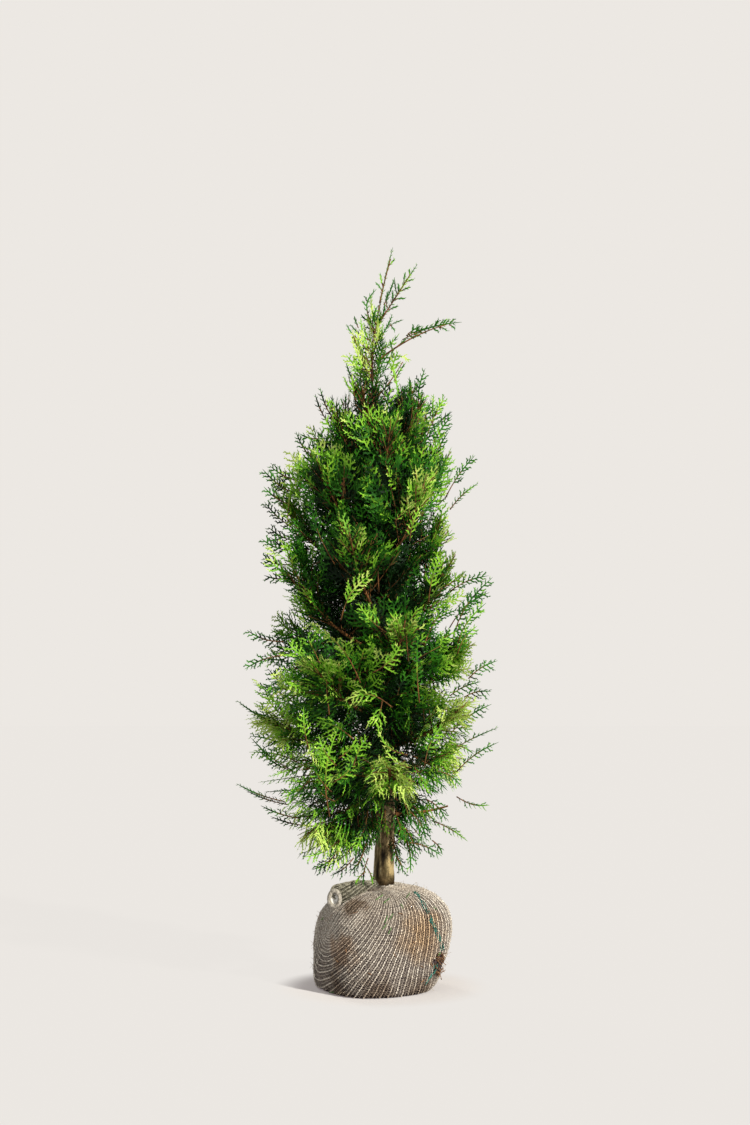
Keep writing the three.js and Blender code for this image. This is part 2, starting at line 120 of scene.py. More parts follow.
# Upright shoots round the leader, and hanging ones all round the crown's foot
PLUMES = dict(count=44, lowest=1296, highest=1465, fork=(30, 16), length=(92, 50), longest=19, bow=-6,
              sway=(-20, 20), forks=(0.6, 1.3), lengths=(0.7, 1.25), sizes=(0.6, 1.2), narrowing=0.4,
              tone=(0.35, 0.8), lighter=0.2, lighter_left=0.4, left=-0.2)
# Hanging shoots are painted lighter on the right, where the light falls
HANGERS = dict(count=120, lowest=318, highest=520, foot=(0.35, 0.7), tip=(0.75, 1.02), fall=(-10, 70),
               longest=20, shortest=40, raised=(-0.2, 0.8), sizes=(0.65, 1), tone=(0.42, 0.78),
               painted_light_right=0.06)
BARE = 5  # how far out a frond's first shoot stands
# Single shoots: those with side shoots below the small length or above the large one differ from the others
SINGLE = dict(small=12, large=20, closer=0.8, bare=0.3, sag=0.35, facing=0.3, out=0.25, noise=0.05,
              stem=0.6, stem_at_neck=0.25, lighter_leader=0.1)

# Colours of the leaves: dark and light on the surface, and the light that comes through
LEAF_COLOURS = {
    "deep": ((0.002, 0.009, 0.002), (0.006, 0.028, 0.004), (0.005, 0.03, 0.003)),
    "mid": ((0.008, 0.058, 0.003), (0.032, 0.155, 0.006), (0.04, 0.24, 0.008)),
    "fresh": ((0.085, 0.240, 0.012), (0.220, 0.450, 0.028), (0.30, 0.66, 0.04)),
    "lime": ((0.270, 0.410, 0.055), (0.520, 0.640, 0.150), (0.54, 0.74, 0.14)),
    "dull": ((0.050, 0.110, 0.036), (0.150, 0.250, 0.085), (0.14, 0.28, 0.07)),
    "stem": ((0.030, 0.022, 0.006), (0.110, 0.062, 0.018), (0.05, 0.04, 0.01)),
}
TINTS = list(LEAF_COLOURS)
TONES = (0.50, 0.72, 0.93)  # where the tone goes from one of the first four tints to the next
WOODY = -1.0  # the place out from the rib that marks a quad of brown stem
# What makes up a leaf's tone: its spray's chance, its frond's, its depth in the crown (painted shade: darker
# inside), its place out
TONE = dict(base=-0.28, spray=0.22, frond=0.36, depth=0.75, out=0.28, noise=0.03)
# Painted light: how much lighter the outer leaves are at each height
PAINTED_LIGHT_BY_HEIGHT = [
    (300, 0.38), (380, 0.46), (560, 0.4), (700, 0.22), (820, 0.1), (1000, 0.07), (1150, 0.27), (1300, 0.26),
]
SUNNY = (0.34, 0.14, -0.08)  # lighter on the right: low, middle and top of the crown
SHADY = (0.02, 0.17, 0.02)  # darker on the left
DULL = dict(below=620, all_from=230, span=420, depth=0.6)  # where old, dull leaves are mixed in

# Single shoots that stand out in the picture: foot (x, z), tip (x, z), depth y, bow to the left of their way,
# length of their longest side shoots, and tone (lower is darker)
SINGLE_SHOOTS = [
    # Leader
    (-11, 1455, 25, 1628, 0, 3, 7, 0.62), (15, 1585, 30, 1603, 0, 0, 4, 0.62),
    (2, 1528, -14, 1551, 0, -2, 5, 0.5), (4, 1538, -3, 1572, 2, 1, 4, 0.6),
    (-23, 1462, -11, 1536, -4, 16, 13, 0.45), (-24, 1464, -45, 1481, 4, 3, 7, 0.4),
    (-20, 1445, -7, 1500, -6, 5, 17, 0.55), (5, 1500, 29, 1561, -3, -2, 7, 0.5),
    (35, 1521, 29, 1559, 3, 2, 6, 0.55), (11, 1495, 15, 1532, -3, 2, 8, 0.5),
    (24, 1505, 25, 1533, 2, 0, 7, 0.5), (-15, 1440, -26, 1470, 8, 4, 11, 0.4),
    # Second leader
    (-6, 1458, 79, 1590, 0, 1, 9, 0.6), (15, 1489, 38, 1498, 1, 1, 5, 0.5),
    (30, 1512, 53, 1514, -1, 2, 5, 0.5), (42, 1531, 65, 1539, 1, 1, 5, 0.5),
    (54, 1551, 72, 1558, 0, 1, 5, 0.55), (38, 1526, 38, 1549, 2, 1, 5, 0.55),
    (49, 1546, 53, 1573, -2, 1, 5, 0.6), (62, 1565, 61, 1581, 0, 0, 4, 0.6),
    # Right fork
    (-8, 1420, 24, 1479, -10, -3, 10, 0.5), (9, 1449, 49, 1469, -8, 3, 7, 0.45),
    (19, 1456, 30, 1443, -8, 0, 6, 0.5), (-4, 1400, 40, 1440, 8, -5, 15, 0.6),
    (24, 1398, 18, 1424, -4, 0, 9, 0.5), (36, 1411, 55, 1426, 2, 0, 8, 0.5),
    # Long arm
    (46, 1424, 177, 1463, 0, 9, 16, 0.5), (54, 1433, 112, 1452, -2, 2, 14, 0.55),
    (58, 1437, 90, 1455, 3, 2, 12, 0.5), (115, 1451, 126, 1469, 0, 1, 5, 0.5),
    (133, 1455, 145, 1471, 2, 1, 5, 0.5), (149, 1458, 163, 1471, 0, 1, 4, 0.5),
    (129, 1452, 145, 1442, -2, 1, 5, 0.5), (149, 1457, 163, 1448, 0, 1, 4, 0.5),
    # Left of the leader
    (-23, 1420, -69, 1458, -5, 4, 8, 0.4), (-51, 1450, -60, 1477, -5, 1, 6, 0.5),
    (-28, 1398, -55, 1446, -12, 6, 19, 0.86), (-28, 1376, -62, 1424, -16, 5, 22, 0.9),
    (-23, 1352, -78, 1391, -20, 8, 24, 0.9), (-34, 1338, -66, 1374, -10, 4, 18, 0.86),
    (-50, 1424, -77, 1458, -4, 4, 8, 0.5), (-54, 1322, -78, 1374, 0, 3, 8, 0.5),
    (30, 1335, 54, 1374, 6, 2, 9, 0.7), (-56, 1290, -64, 1349, -24, 3, 12, 0.84),
    (-58, 1298, -83, 1342, -20, 3, 7, 0.84), (-46, 1300, -38, 1420, 10, 4, 20, 0.6),
    (-30, 1320, -36, 1400, 14, 3, 18, 0.62), (-42, 1290, -46, 1350, -14, 2, 14, 0.42),
    (-26, 1290, -34, 1345, -20, 2, 14, 0.4),
    # Right of the leader
    (21, 1350, 37, 1397, -14, 2, 20, 0.88), (34, 1386, 61, 1373, -16, 6, 14, 0.9),
    (30, 1330, 26, 1375, -18, 2, 13, 0.84), (37, 1268, 27, 1358, -28, -3, 12, 0.8),
    (5, 1290, 15, 1344, -22, 2, 18, 0.45), (-8, 1350, 20, 1400, 10, 3, 20, 0.6),
    (68, 1280, 61, 1341, -20, 2, 9, 0.7), (83, 1262, 96, 1360, -18, 8, 20, 0.5),
    (113, 1236, 115, 1305, -10, 2, 11, 0.8), (118, 1255, 137, 1290, -12, 2, 17, 0.88),
    (118, 1232, 156, 1267, 0, 2, 12, 0.45), (112, 1150, 148, 1222, 0, 4, 16, 0.6),
    (140, 1075, 206, 1170, 0, 6, 23, 0.6), (150, 1050, 212, 1108, -20, 5, 11, 0.64),
    # Left shoulder
    (-100, 1240, -135, 1318, -10, 5, 13, 0.42), (-115, 1238, -146, 1305, 0, 4, 12, 0.42),
    (-104, 1246, -108, 1302, -16, 2, 11, 0.42), (-77, 1248, -77, 1304, -20, 2, 10, 0.45),
    (-140, 1206, -180, 1217, 0, 3, 12, 0.5), (-150, 1160, -188, 1222, 0, 5, 15, 0.5),
    (-190, 1085, -262, 1140, 0, 6, 22, 0.5), (-200, 1060, -258, 1100, -20, 5, 20, 0.5),
    (-195, 1010, -258, 1068, 10, 5, 20, 0.45), (-200, 930, -262, 944, 0, 6, 22, 0.45),
    (-215, 760, -296, 785, 0, 8, 20, 0.5), (-220, 730, -300, 700, -20, -6, 18, 0.5),
    (-205, 1020, -196, 1105, -30, 3, 12, 0.85), (-180, 1090, -170, 1165, -30, -3, 9, 0.85),
    # Long low shoots
    (-212, 411, -318, 449, -30, 5, 9, 0.5), (-205, 400, -300, 432, 10, 5, 10, 0.45),
    (-212, 572, -318, 631, 0, 6, 9, 0.5), (-179, 378, -263, 405, -60, 4, 12, 0.5),
    (-160, 352, -245, 374, 20, 4, 12, 0.45), (133, 509, 256, 573, -20, 6, 12, 0.6),
    (164, 475, 256, 541, -20, 8, 18, 0.62), (164, 422, 236, 404, -30, -8, 14, 0.7),
    (109, 371, 188, 326, -40, 5, 14, 0.7), (150, 560, 240, 625, -40, 8, 20, 0.6),
    (150, 536, 202, 515, -40, 6, 15, 0.7), (190, 680, 254, 719, -30, 6, 20, 0.6),
    (180, 640, 239, 653, -40, 6, 20, 0.55), (-200, 480, -286, 548, -10, 6, 14, 0.6),
    (-190, 470, -272, 522, 20, 6, 14, 0.55), (-205, 655, -262, 668, 0, 5, 18, 0.6),
    (-205, 960, -264, 986, 10, 5, 20, 0.5), (-200, 900, -258, 906, -10, 5, 20, 0.5),
    (-29, 292, -40, 230, -60, -4, 10, 0.55),
    # Right side, brown stems with fresh tips
    (92, 1175, 140, 1300, -10, 8, 25, 0.68), (105, 1165, 156, 1258, 5, 8, 24, 0.6),
    (70, 1190, 96, 1290, -40, 4, 25, 0.64), (150, 790, 238, 868, 10, 12, 22, 0.56),
    (150, 640, 218, 672, 0, 6, 20, 0.65), (150, 870, 236, 905, 0, 8, 20, 0.6),
    (150, 745, 243, 902, -30, 18, 22, 0.6), (160, 740, 228, 846, -50, 12, 20, 0.7),
    (165, 735, 208, 796, -60, 8, 18, 0.7), (92, 752, 150, 850, -60, 8, 20, 0.62),
    (95, 790, 170, 832, -20, 6, 20, 0.56), (104, 740, 180, 792, -40, 6, 20, 0.66),
    (96, 800, 156, 900, 10, 8, 20, 0.5), (110, 330, 132, 300, -60, 4, 12, 0.6),
    (70, 450, 122, 424, 0, 4, 20, 0.55), (76, 480, 144, 436, -40, 6, 20, 0.62),
    (56, 424, 112, 390, 20, 4, 20, 0.5), (60, 1150, 112, 1240, 0, 6, 20, 0.5),
    (70, 1180, 122, 1216, -20, 6, 20, 0.55), (88, 1210, 110, 1290, -20, 4, 18, 0.5),
    (84, 1130, 140, 1190, 20, 6, 20, 0.45), (-190, 650, -250, 700, 0, 6, 22, 0.5),
    (-180, 660, -246, 676, -30, 6, 20, 0.6), (-180, 955, -244, 990, -20, 6, 22, 0.5),
    (-185, 980, -250, 1012, 20, 6, 20, 0.45), (-175, 1110, -245, 1146, -20, 6, 22, 0.5),
    (-180, 1085, -240, 1116, 20, 6, 22, 0.45),
    # Before the crown
    (-87, 811, -22, 909, -165, 14, 26, 0.88), (-45, 680, -179, 816, -205, -34, 22, 0.92),
    (-111, 612, -116, 766, -190, 4, 20, 0.55), (-100, 930, -153, 1062, -140, 8, 20, 0.55),
    (80, 636, 76, 766, -180, 3, 18, 0.6), (57, 724, 50, 886, -170, 3, 20, 0.6),
    (-6, 870, -10, 1085, -120, 2, 34, 0.5), (28, 1020, 72, 1060, -150, 8, 14, 0.92),
    (60, 980, 84, 1054, -150, 6, 16, 0.85), (-110, 398, -90, 590, -205, 18, 22, 0.8),
    (-106, 450, -146, 520, -205, 8, 20, 0.7), (-102, 470, -58, 520, -200, -8, 20, 0.74),
    (-96, 505, -134, 572, -205, 6, 20, 0.8), (-92, 520, -52, 566, -200, -6, 18, 0.82),
    (-100, 430, -140, 470, -200, 8, 18, 0.64), (-155, 540, -165, 630, -190, 4, 24, 0.82),
    (-60, 500, -28, 566, -190, 6, 26, 0.8), (22, 628, -84, 640, -200, -22, 24, 0.9),
    (1, 645, -20, 588, -200, 5, 30, 0.84), (33, 430, -32, 484, -190, -12, 28, 0.86),
    (-191, 560, -290, 607, -20, -10, 22, 0.6), (-187, 512, -290, 552, 0, -10, 22, 0.6),
    (-160, 484, -290, 519, -30, -12, 20, 0.65), (-198, 628, -282, 664, 10, -8, 16, 0.5),
    (-54, 335, -140, 274, -110, 12, 18, 0.72), (-80, 350, -170, 300, -110, 12, 18, 0.7),
    (-120, 330, -180, 300, -60, 6, 22, 0.6), (-150, 470, -214, 428, -80, 8, 26, 0.7),
    (-60, 560, -140, 600, -195, -10, 30, 0.74), (-20, 700, 40, 760, -190, -8, 28, 0.8),
    (90, 500, 130, 590, -180, 8, 24, 0.74), (50, 360, 74, 300, -80, 5, 18, 0.55),
    (96, 420, 140, 372, -60, 8, 20, 0.6), (120, 480, 176, 442, -50, 8, 18, 0.62),
    (60, 400, 96, 335, -120, 8, 20, 0.6), (48, 350, 62, 262, -90, 6, 16, 0.62),
    (20, 780, -50, 850, -190, 8, 26, 0.72), (100, 850, 128, 950, -150, 6, 26, 0.8),
    (54, 528, -8, 582, -205, 14, 12, 0.94), (62, 500, 4, 545, -200, 12, 12, 0.92),
    (70, 470, 30, 505, -190, 8, 12, 0.9), (-60, 300, -110, 262, -120, 6, 18, 0.4),
    (-90, 320, -150, 272, -110, 8, 20, 0.4), (-40, 310, -70, 270, -130, 5, 16, 0.42),
    (30, 300, 46, 262, -90, 4, 16, 0.5), (60, 330, 130, 300, -100, 6, 18, 0.5),
    (-30, 270, -20, 234, -72, 3, 8, 0.8), (-36, 264, -58, 234, -78, -3, 9, 0.72),
    (-12, 396, -9, 320, -62, 2, 16, 0.62), (8, 396, 13, 338, -58, -2, 12, 0.74),
    (-24, 412, -18, 322, -64, 3, 20, 0.66), (-38, 396, -32, 298, -70, 3, 18, 0.58),
    (-52, 384, -48, 292, -74, 2, 18, 0.5),
]

# Bark relief, and the side that splits open near the foot
BARK = dict(rings=520, sides=72, furrows=0.06, scales=0.07, step=3.5, inset=0.4,
            split_side=-0.9, split_lean=0.0016, split_width=0.32, split_height=150, split_depth=0.28)
# Trunk colours from dark to light, below and above, and the heights in metres where they change
BARK_COLOURS = [
    ((0.010, 0.007, 0.004), (0.150, 0.105, 0.048), (0.560, 0.450, 0.250)),
    ((0.014, 0.007, 0.004), (0.085, 0.044, 0.022), (0.240, 0.145, 0.080)),
]
BARK_CHANGE = (0.30, 0.62)
FLAKE = dict(at=(24, -20, 262), size=(17, 20, 32), colour=(0.36, 0.27, 0.125))
FOOT_DARKENING = dict(full=0.222, none=0.256, colour=(0.34, 0.27, 0.2))  # the trunk darker towards its foot: heights in metres there, and the colour it is multiplied by

# Knitted jute wrap
GATHER = (-14, -42, 104)  # way from the ball's centre to where the wrap is gathered
POLE = (-125, -82, 23)  # way to the place on its left that the ribs bend round
RIBS = dict(level=0.042, closer=0.3, inmost=0.07, wider=(1.5, 0.5), across=0.035, starts=(20, 44), step=2.0,
            radii=(1.3, 0.95), bead=0.45, uneven=(0.85, 1.15), lift=0.5, shake=0.22, bend=0.34, stray=1.5,
            last=(0.012, 0.004))
THREADS = dict(gap=4.4, start=30, longest=17, radius=0.55, lift=0.2)
FRAYS = dict(count=900, length=(3, 8), radius=0.32, lift=0.5, lowest=4, lean=0.7, bend=0.8, points=6)
SHEET = dict(around=260, down=150, lift=-1.1, lumps=1.3)
TEAR = dict(at=(125, 62), wide=12, high=27, hairs=60, across=(-1, 0.6), up=(-0.9, 0.9), length=(5, 15),
            rise=(-12, 5), radius=(0.3, 0.9), forward=(-0.4, 0.5), shake=0.5)
TAIL_MOUTH = dict(yarns=18, twist=2.2, thick=5.5, front=1.9, share=0.9, cut=0.09, ragged=0.015)
TAIL_MESH = dict(around=72, along=40, yarn=64, rim=97)
TAIL_YARN = dict(lift=0.2, wander=0.08, ply=0.9, radius=1.0, winding=24, rim=2.6, slant=0.012, thread=0.6)
TAIL_RING = dict(at=(-102, -80, 206), wide=12.5, high=16.5, thick=3.6, faces=(-0.35, -0.93, 0.12),
                 yarns=11, radius=1.35, coils=3, spokes=48)
PLEAT = dict(inwards=6, middle=0.55, lift=7, shake=0.25, radius=1.5)
RING_CUP = [(1.0, -1), (0.85, -3), (0.5, -4.5), (0.02, -5)]  # share of the ring's size, and depth
GREEN_STRIPES = [[(72, 216), (90, 194), (104, 164), (121, 128), (132, 92)], [(121, 70), (111, 46), (97, 22)]]
GREEN = dict(yarns=(-3.4, -1.2, 1.2, 3.2), right=136, lift=1.6, radius=(0.7, 1.4), worn_above=0.02, steps=22)
LITTER_LIFT = 2.2
# Bits lying on the wrap: kind, x and height of both ends, thickness
LITTER = [
    ("leaf", 12, 176, 6, 162, 1.3), ("leaf", 16, 168, 24, 180, 1.1), ("leaf", 2, 150, 10, 160, 1.2),
    ("leaf", 20, 152, 14, 140, 1.0), ("leaf", -12, 206, 2, 214, 1.3), ("leaf", 4, 200, 16, 208, 1.2),
    ("leaf", 60, 214, 52, 206, 1.1), ("leaf", 118, 180, 110, 186, 1.1), ("leaf", 126, 88, 120, 82, 1.6),
    ("leaf", -112, 4, -102, 8, 1.5), ("leaf", -130, 150, -126, 156, 1.2), ("leaf", 40, 196, 46, 188, 1.0),
    ("straw", -76, 106, -74, 99, 1.5), ("straw", 34, 180, 46, 176, 0.9), ("straw", 66, 120, 74, 112, 0.9),
    ("straw", -100, 84, -92, 76, 1.2), ("straw", -30, 60, -22, 54, 0.8), ("straw", 84, 30, 92, 36, 1.0),
    ("straw", 24, 100, 30, 90, 0.8), ("straw", -60, 180, -50, 184, 0.9), ("straw", 104, 70, 110, 60, 1.0),
]
# Earth stains, painted shade on the ball's top and a painted shadow under the tail: the place's x and height,
# the radius, how strong it is and its colour
EARTH = (0.42, 0.34, 0.28)
STAINS_AND_SHADE = [
    ((88, 132), 76, 0.8, (0.93, 0.68, 0.42)), ((-88, 98), 50, 0.6, (0.80, 0.56, 0.38)),
    # Painted shade that darkens the ball's top round the gather
    ((-20, 224), 96, 0.75, (0.56, 0.52, 0.50)), ((52, 222), 74, 0.7, (0.62, 0.57, 0.54)),
    # Painted shadow under the tail, with some earth
    ((-60, 196), 44, 0.9, (0.36, 0.29, 0.23)),
    ((-10, 3), 60, 0.8, EARTH), ((78, 3), 60, 0.8, EARTH), ((-92, 3), 50, 0.8, EARTH),
]
STAIN_AND_SHADE_EDGE = dict(ragged=-0.09, start=-0.025, end=-0.045)  # metres that the noise moves the edge of a stain or of painted shade

# Studio
STUDIO = dict(colour=(0.84, 0.807, 0.768), shade=(0.19, 0.195, 0.205), turns=(0.45, 0.93))
# The floor's own colour and its glow, close to the ball, where it takes shadows, and far from it
FLOOR = dict(half=8.0, close=0.165, far=0.250)
FLOOR_TONES = {
    "Base Color": ((0.42, 0.41, 0.40), (0.014, 0.0137, 0.0135)),
    "Emission Color": ((0.147, 0.122, 0.119), (0.810, 0.778, 0.741)),
}
# Suns: where each comes from, strength, spread in degrees and colour
SUNS = [
    ("key", (2.5, -2.7, 2.4), 6.6, 3, (1.0, 0.97, 0.90)),
    ("rim", (-1.5, 2.6, 3.0), 0.6, 12, (1.0, 0.98, 0.92)),
    ("fill", (-1.6, -1.8, 2.2), 0.8, 70, (0.96, 0.98, 1.0)),
]
CAMERA = dict(eye=(-0.0143, -5.0, 0.934), focal_pixels=2272.7, picture_pixels=1125, film=(24, 36))


def chance(limb, spray, draw):
    """A number from 0 to 1 that is always the same for the same limb, spray and draw."""
    h = ((limb + SEED) * 0x9E3779B1) & 0xFFFFFFFF
    h ^= (((spray + 1) * 0x85EBCA6B) & 0xFFFFFFFF) ^ (((draw + 1) * 0xC2B2AE35) & 0xFFFFFFFF)
    h = ((h ^ (h >> 16)) * 0x7FEB352D) & 0xFFFFFFFF
    h = ((h ^ (h >> 15)) * 0x846CA68B) & 0xFFFFFFFF
    return ((h ^ (h >> 16)) & 0xFFFFFFFF) / 4294967296


def lerp(a, b, t):
    return a + (b - a) * t


def unit(v):
    return v / np.linalg.norm(v, axis=-1, keepdims=True)


def square_to(v, axis):
    """The unit part of v that is square to a unit axis, row by row."""
    return unit(v - axis * (v * axis).sum(-1, keepdims=True))


def turned(v, axis, angle):
    """v turned about a unit axis, row by row."""
    angle = np.asarray(angle)[..., None]
    along = (axis * v).sum(-1, keepdims=True)
    return v * np.cos(angle) + np.cross(axis, v) * np.sin(angle) + axis * along * (1 - np.cos(angle))


def outward_at(bearing):
    """The level way out from the trunk at a bearing in radians."""
    return np.array([math.cos(bearing), math.sin(bearing), 0.0])


def curve(a, b, c, t):
    """Points at shares t of the curve from a to c that bends towards b."""
    return a * (1 - t) ** 2 + b * 2 * t * (1 - t) + c * t * t


def turns(count):
    """Angles all round in equal steps."""
    return np.linspace(0, 2 * np.pi, count, endpoint=False)


def between_sides(table, height, outward):
    """A table's value at a height, from its left column to its right one as outward goes from -1 to 1."""
    heights, left, right = zip(*table)
    return lerp(np.interp(height, heights, left), np.interp(height, heights, right), 0.5 + 0.5 * outward)


# Trunk and limbs

TRUNK_FOOT = TRUNK_BENDS[0][2]
TRUNK_TOP = TRUNK_BENDS[-1][2]


def trunk_at(height):
    """The middle of the trunk at a height: it swings smoothly from each bend to the next."""
    z = min(max(height, TRUNK_FOOT), TRUNK_TOP)
    i = next(k for k in range(1, len(TRUNK_BENDS)) if z <= TRUNK_BENDS[k][2])
    low, high = np.array(TRUNK_BENDS[i - 1], float), np.array(TRUNK_BENDS[i], float)
    t = (z - low[2]) / (high[2] - low[2])
    point = lerp(low, high, t * t * (3 - 2 * t))
    point[2] = z
    return point


def trunk_radius(height):
    share = min(max((height - TRUNK_FOOT) / (TRUNK_TOP - TRUNK_FOOT), 0), 1)
    flare = TRUNK["flare"] * math.exp((TRUNK_FOOT - height) / TRUNK["flare_height"])
    return TRUNK["tip"] + (TRUNK["foot"] - TRUNK["tip"]) * (1 - share) ** TRUNK["taper"] + flare


def habit_at(height):
    """How a limb that leaves the trunk at a height grows."""
    heights, *columns = zip(*HABIT)
    return [float(np.interp(height, heights, column)) for column in columns]


class Limb:
    """One limb: a curve from the trunk to its tip, and how its sprays behave; one with a reach is single."""

    def __init__(self, index, name, low, tip, bearing, bow, girth, nod, wood,
                 elbow=0.5, pull=0, reach=None, size=1):
        self.index, self.name, self.girth, self.nod = index, name, girth, nod
        self.wood, self.pull, self.size = wood, pull, size
        self.single = reach is not None
        outward = outward_at(bearing)
        self.side = np.array([-outward[1], outward[0], 0.0])
        start = trunk_at(low)
        end = outward * reach + start if self.single else outward * between_sides(CROWN, tip, outward[0])
        end[2] = tip
        self.points = (start, lerp(start, end, elbow) + UP * bow, end)
        steps = np.array([self.at(k / 200) for k in range(201)])
        self.length = float(np.linalg.norm(np.diff(steps, axis=0), axis=1).sum())
        self.zone = int(low > LOW)
        self.first_leaf = max(wood, LIMBS["first_spray"])

    def chance(self, spray, draw):
        return chance(self.index, spray, draw)

    def at(self, t):
        return curve(*self.points, t)

    def tangent(self, t):
        a, b, c = self.points
        return unit((b - a) * (1 - t) + (c - b) * t)

    def above(self, t):
        return np.cross(self.tangent(t), self.side)

    def radius(self, t):
        return lerp(self.girth, LIMBS["tip_radius"], t ** 0.9)

    def forked(self, t, fork, roll, hand=1):
        """The way at a share of the limb that forks from it, rolled from its side to above it."""
        beside = self.side * (math.sin(fork) * hand * math.cos(roll))
        raised = self.above(t) * (math.sin(fork) * math.sin(roll))
        return unit(self.tangent(t) * math.cos(fork) + beside + raised)


def make_limbs():
    limbs = []
    for i in range(LIMBS["count"]):
        share = (i + 0.5 * (chance(i, 0, 0) - 0.5)) / (LIMBS["count"] - 1)
        low = lerp(LIMBS["lowest"], LIMBS["highest"], min(max(share, 0), 1))
        rise, bow, elbow, girth, nod, pull, size = habit_at(low)
        band = next(k for k, (_, end) in enumerate(BANDS) if i < end)
        name = f"{BANDS[band][0]}_{i - (BANDS[band - 1][1] if band else 0) + 1}"
        turn = LIMBS["first_bearing"] + i * LIMBS["step"] + LIMBS["sway"] * (chance(i, 0, 1) - 0.5)
        bearing = math.radians(turn)
        tip = low + rise + LIMBS["lift"] * (chance(i, 0, 2) - 0.5)
        wood = LIMBS["wood"] if LIMBS["woody_from"] <= i <= LIMBS["woody_to"] else 0
        limbs.append(Limb(i, name, low, tip, bearing, bow, girth, nod, wood, elbow, pull, size=size))
    for shoot in LEADER_SHOOTS:
        values = {k: v for k, v in shoot.items() if k != "turn"}
        limbs.append(Limb(len(limbs), bearing=math.radians(shoot["turn"]), wood=0, **values))
    return limbs


# Sprays

def spray_frame(limb, place, t, draws, last=False):
    """Where a spray leaves its limb, which way it grows, how it lies and how long it is."""
    base = limb.at(t)
    hand = 1 if place % 2 else -1
    fork = 0 if last else math.radians(lerp(*SPRAY["fork"], limb.chance(draws, 3)))
    roll = math.radians(SPRAY["roll"] * (2 * limb.chance(draws, 4) - 1))
    direction = limb.forked(t, fork, roll, hand)
    direction = direction if last else unit(direction + UP * limb.pull)
    tilt = math.radians(SPRAY["tilt"] * (2 * limb.chance(draws, 5) - 1))
    across = unit(np.cross(turned(square_to(limb.above(t), direction), direction, tilt), direction))
    taper = SPRAY["at_trunk"] - SPRAY["taper"] * t
    full = limb.size * (SPRAY["shortest"] + SPRAY["growth"] * limb.length) * taper
    size = SPRAY["least"] + SPRAY["more"] * limb.chance(draws, 6)
    length = np.linalg.norm(limb.at(1) - base) if last else full * size
    nod = 0 if last else limb.nod * (SPRAY["least_nod"] + SPRAY["more_nod"] * limb.chance(draws, 7))
    width = SPRAY["end_width"] if last else SPRAY["width"]
    return dict(limb=limb, draws=draws, base=base, direction=direction, across=across,
                normal=unit(np.cross(direction, across)), length=length, nod=nod, width=width)


def inner_spray(limb, place):
    """A smaller upright spray near the trunk, where the limb is bough in the source."""
    draws = 200 + place
    t = lerp(INNER["inmost"], limb.first_leaf, (place + limb.chance(draws, 1)) / INNER["count"][limb.zone])
    fork = math.radians(lerp(*INNER["fork"], limb.chance(draws, 3)))
    roll = math.radians(lerp(*INNER["roll"], limb.chance(draws, 4)))
    direction = limb.forked(t, fork, roll)
    across = unit(np.cross(turned(limb.side, direction, math.pi * limb.chance(draws, 5)), direction))
    spray = spray_frame(limb, place, t, draws)
    spray.update(direction=direction, across=across, normal=unit(np.cross(direction, across)),
                 length=spray["length"] * INNER["size"])
    return spray


def rib_points(spray, share, length):
    share = np.asarray(share, float)[..., None]
    drop = UP * (spray["nod"] * length * SPRAY["drop"])
    return spray["base"] + spray["direction"] * (share * length) - drop * share ** 2


def belly(share):
    """How a spray or a frond widens and narrows again along its length."""
    return np.sin(np.pi * (0.2 + 0.7 * share))


def spread_at(spray, share, length):
    """How far a side shoot stands out from the rib."""
    return spray["width"] * length * belly(share) * (1.15 - 0.45 * share)


def allowed_reach(z, outward):
    """How far from the trunk the leaves go at a height, outward from -1 on the left to 1 on the right."""
    return between_sides(CROWN, z, outward) - between_sides(TRIM, z, outward)


def in_opening(x, y, z):
    return y < 0 and OPENING["x"][0] < x < OPENING["x"][1] and OPENING["z"][0] < z < OPENING["z"][1]


def in_crown(points, room):
    for x, y, z in points:
        beside = math.hypot(x, y)
        reach = allowed_reach(z, x / max(beside, 1e-6)) + room - CONE["narrowing"] * max(0, z - CONE["start"])
        if in_opening(x, y, z) or beside > reach:
            return False
    return True


def fitted(spray, always=False):
    """The spray at the largest size that keeps to the crown's outline."""
    room = lerp(*CROWN_ROOM, spray["limb"].chance(spray["draws"], 8))
    share = np.array([0.4, 0.7])
    for scale in SMALLER:
        length = spray["length"] * scale
        out = spread_at(spray, share, length)[:, None]
        rib = rib_points(spray, share, length) + spray["direction"] * out * SPRAY["forward"]
        tips = np.vstack([rib - spray["across"] * out, rib + spray["across"] * out,
                          rib_points(spray, [1], length)])
        if in_crown(tips, room):
            break
    else:
        if spray["base"][2] < HANG["full"] + 0.6 * spray["base"][0] and not always:
            return None
    spray["length"] = length
    return spray


def clear_of_trunk(spray):
    """Whether a spray leaves the opening before the trunk's foot free."""
    points = rib_points(spray, [0.25, 0.5, 0.75, 1], spray["length"])
    return not any(in_opening(*point) for point in points)


def leafy_end(limb):
    """How far along the limb its leaves go: where it leaves the trimmed outline."""
    shares = np.linspace(LIMBS["stem_end"], 0.4, 13)
    return next((t for t in shares if in_crown([limb.at(t)], 0)), 0.4)


def make_sprays(limbs):
    sprays = []
    last = SPRAY["per_limb"] - 1
    for limb in (limb for limb in limbs if not limb.single):
        if limb.points[0][2] < INNER["highest"]:
            sprays += [fitted(inner_spray(limb, place), True) for place in range(INNER["count"][limb.zone])]
        end = leafy_end(limb)
        each = EXTRA_SPRAYS[limb.zone] + 1
        for place in range(last):
            for extra in range(each):
                offset = 0.5 + extra / each
                t = lerp(limb.first_leaf, end, (place + offset) / SPRAY["per_limb"])
                sprays.append(fitted(spray_frame(limb, place + extra, t, place + 100 * extra)))
        sprays.append(fitted(spray_frame(limb, last, end, last, last=True)))
    return [spray for spray in sprays if spray and clear_of_trunk(spray)]


# Leaves

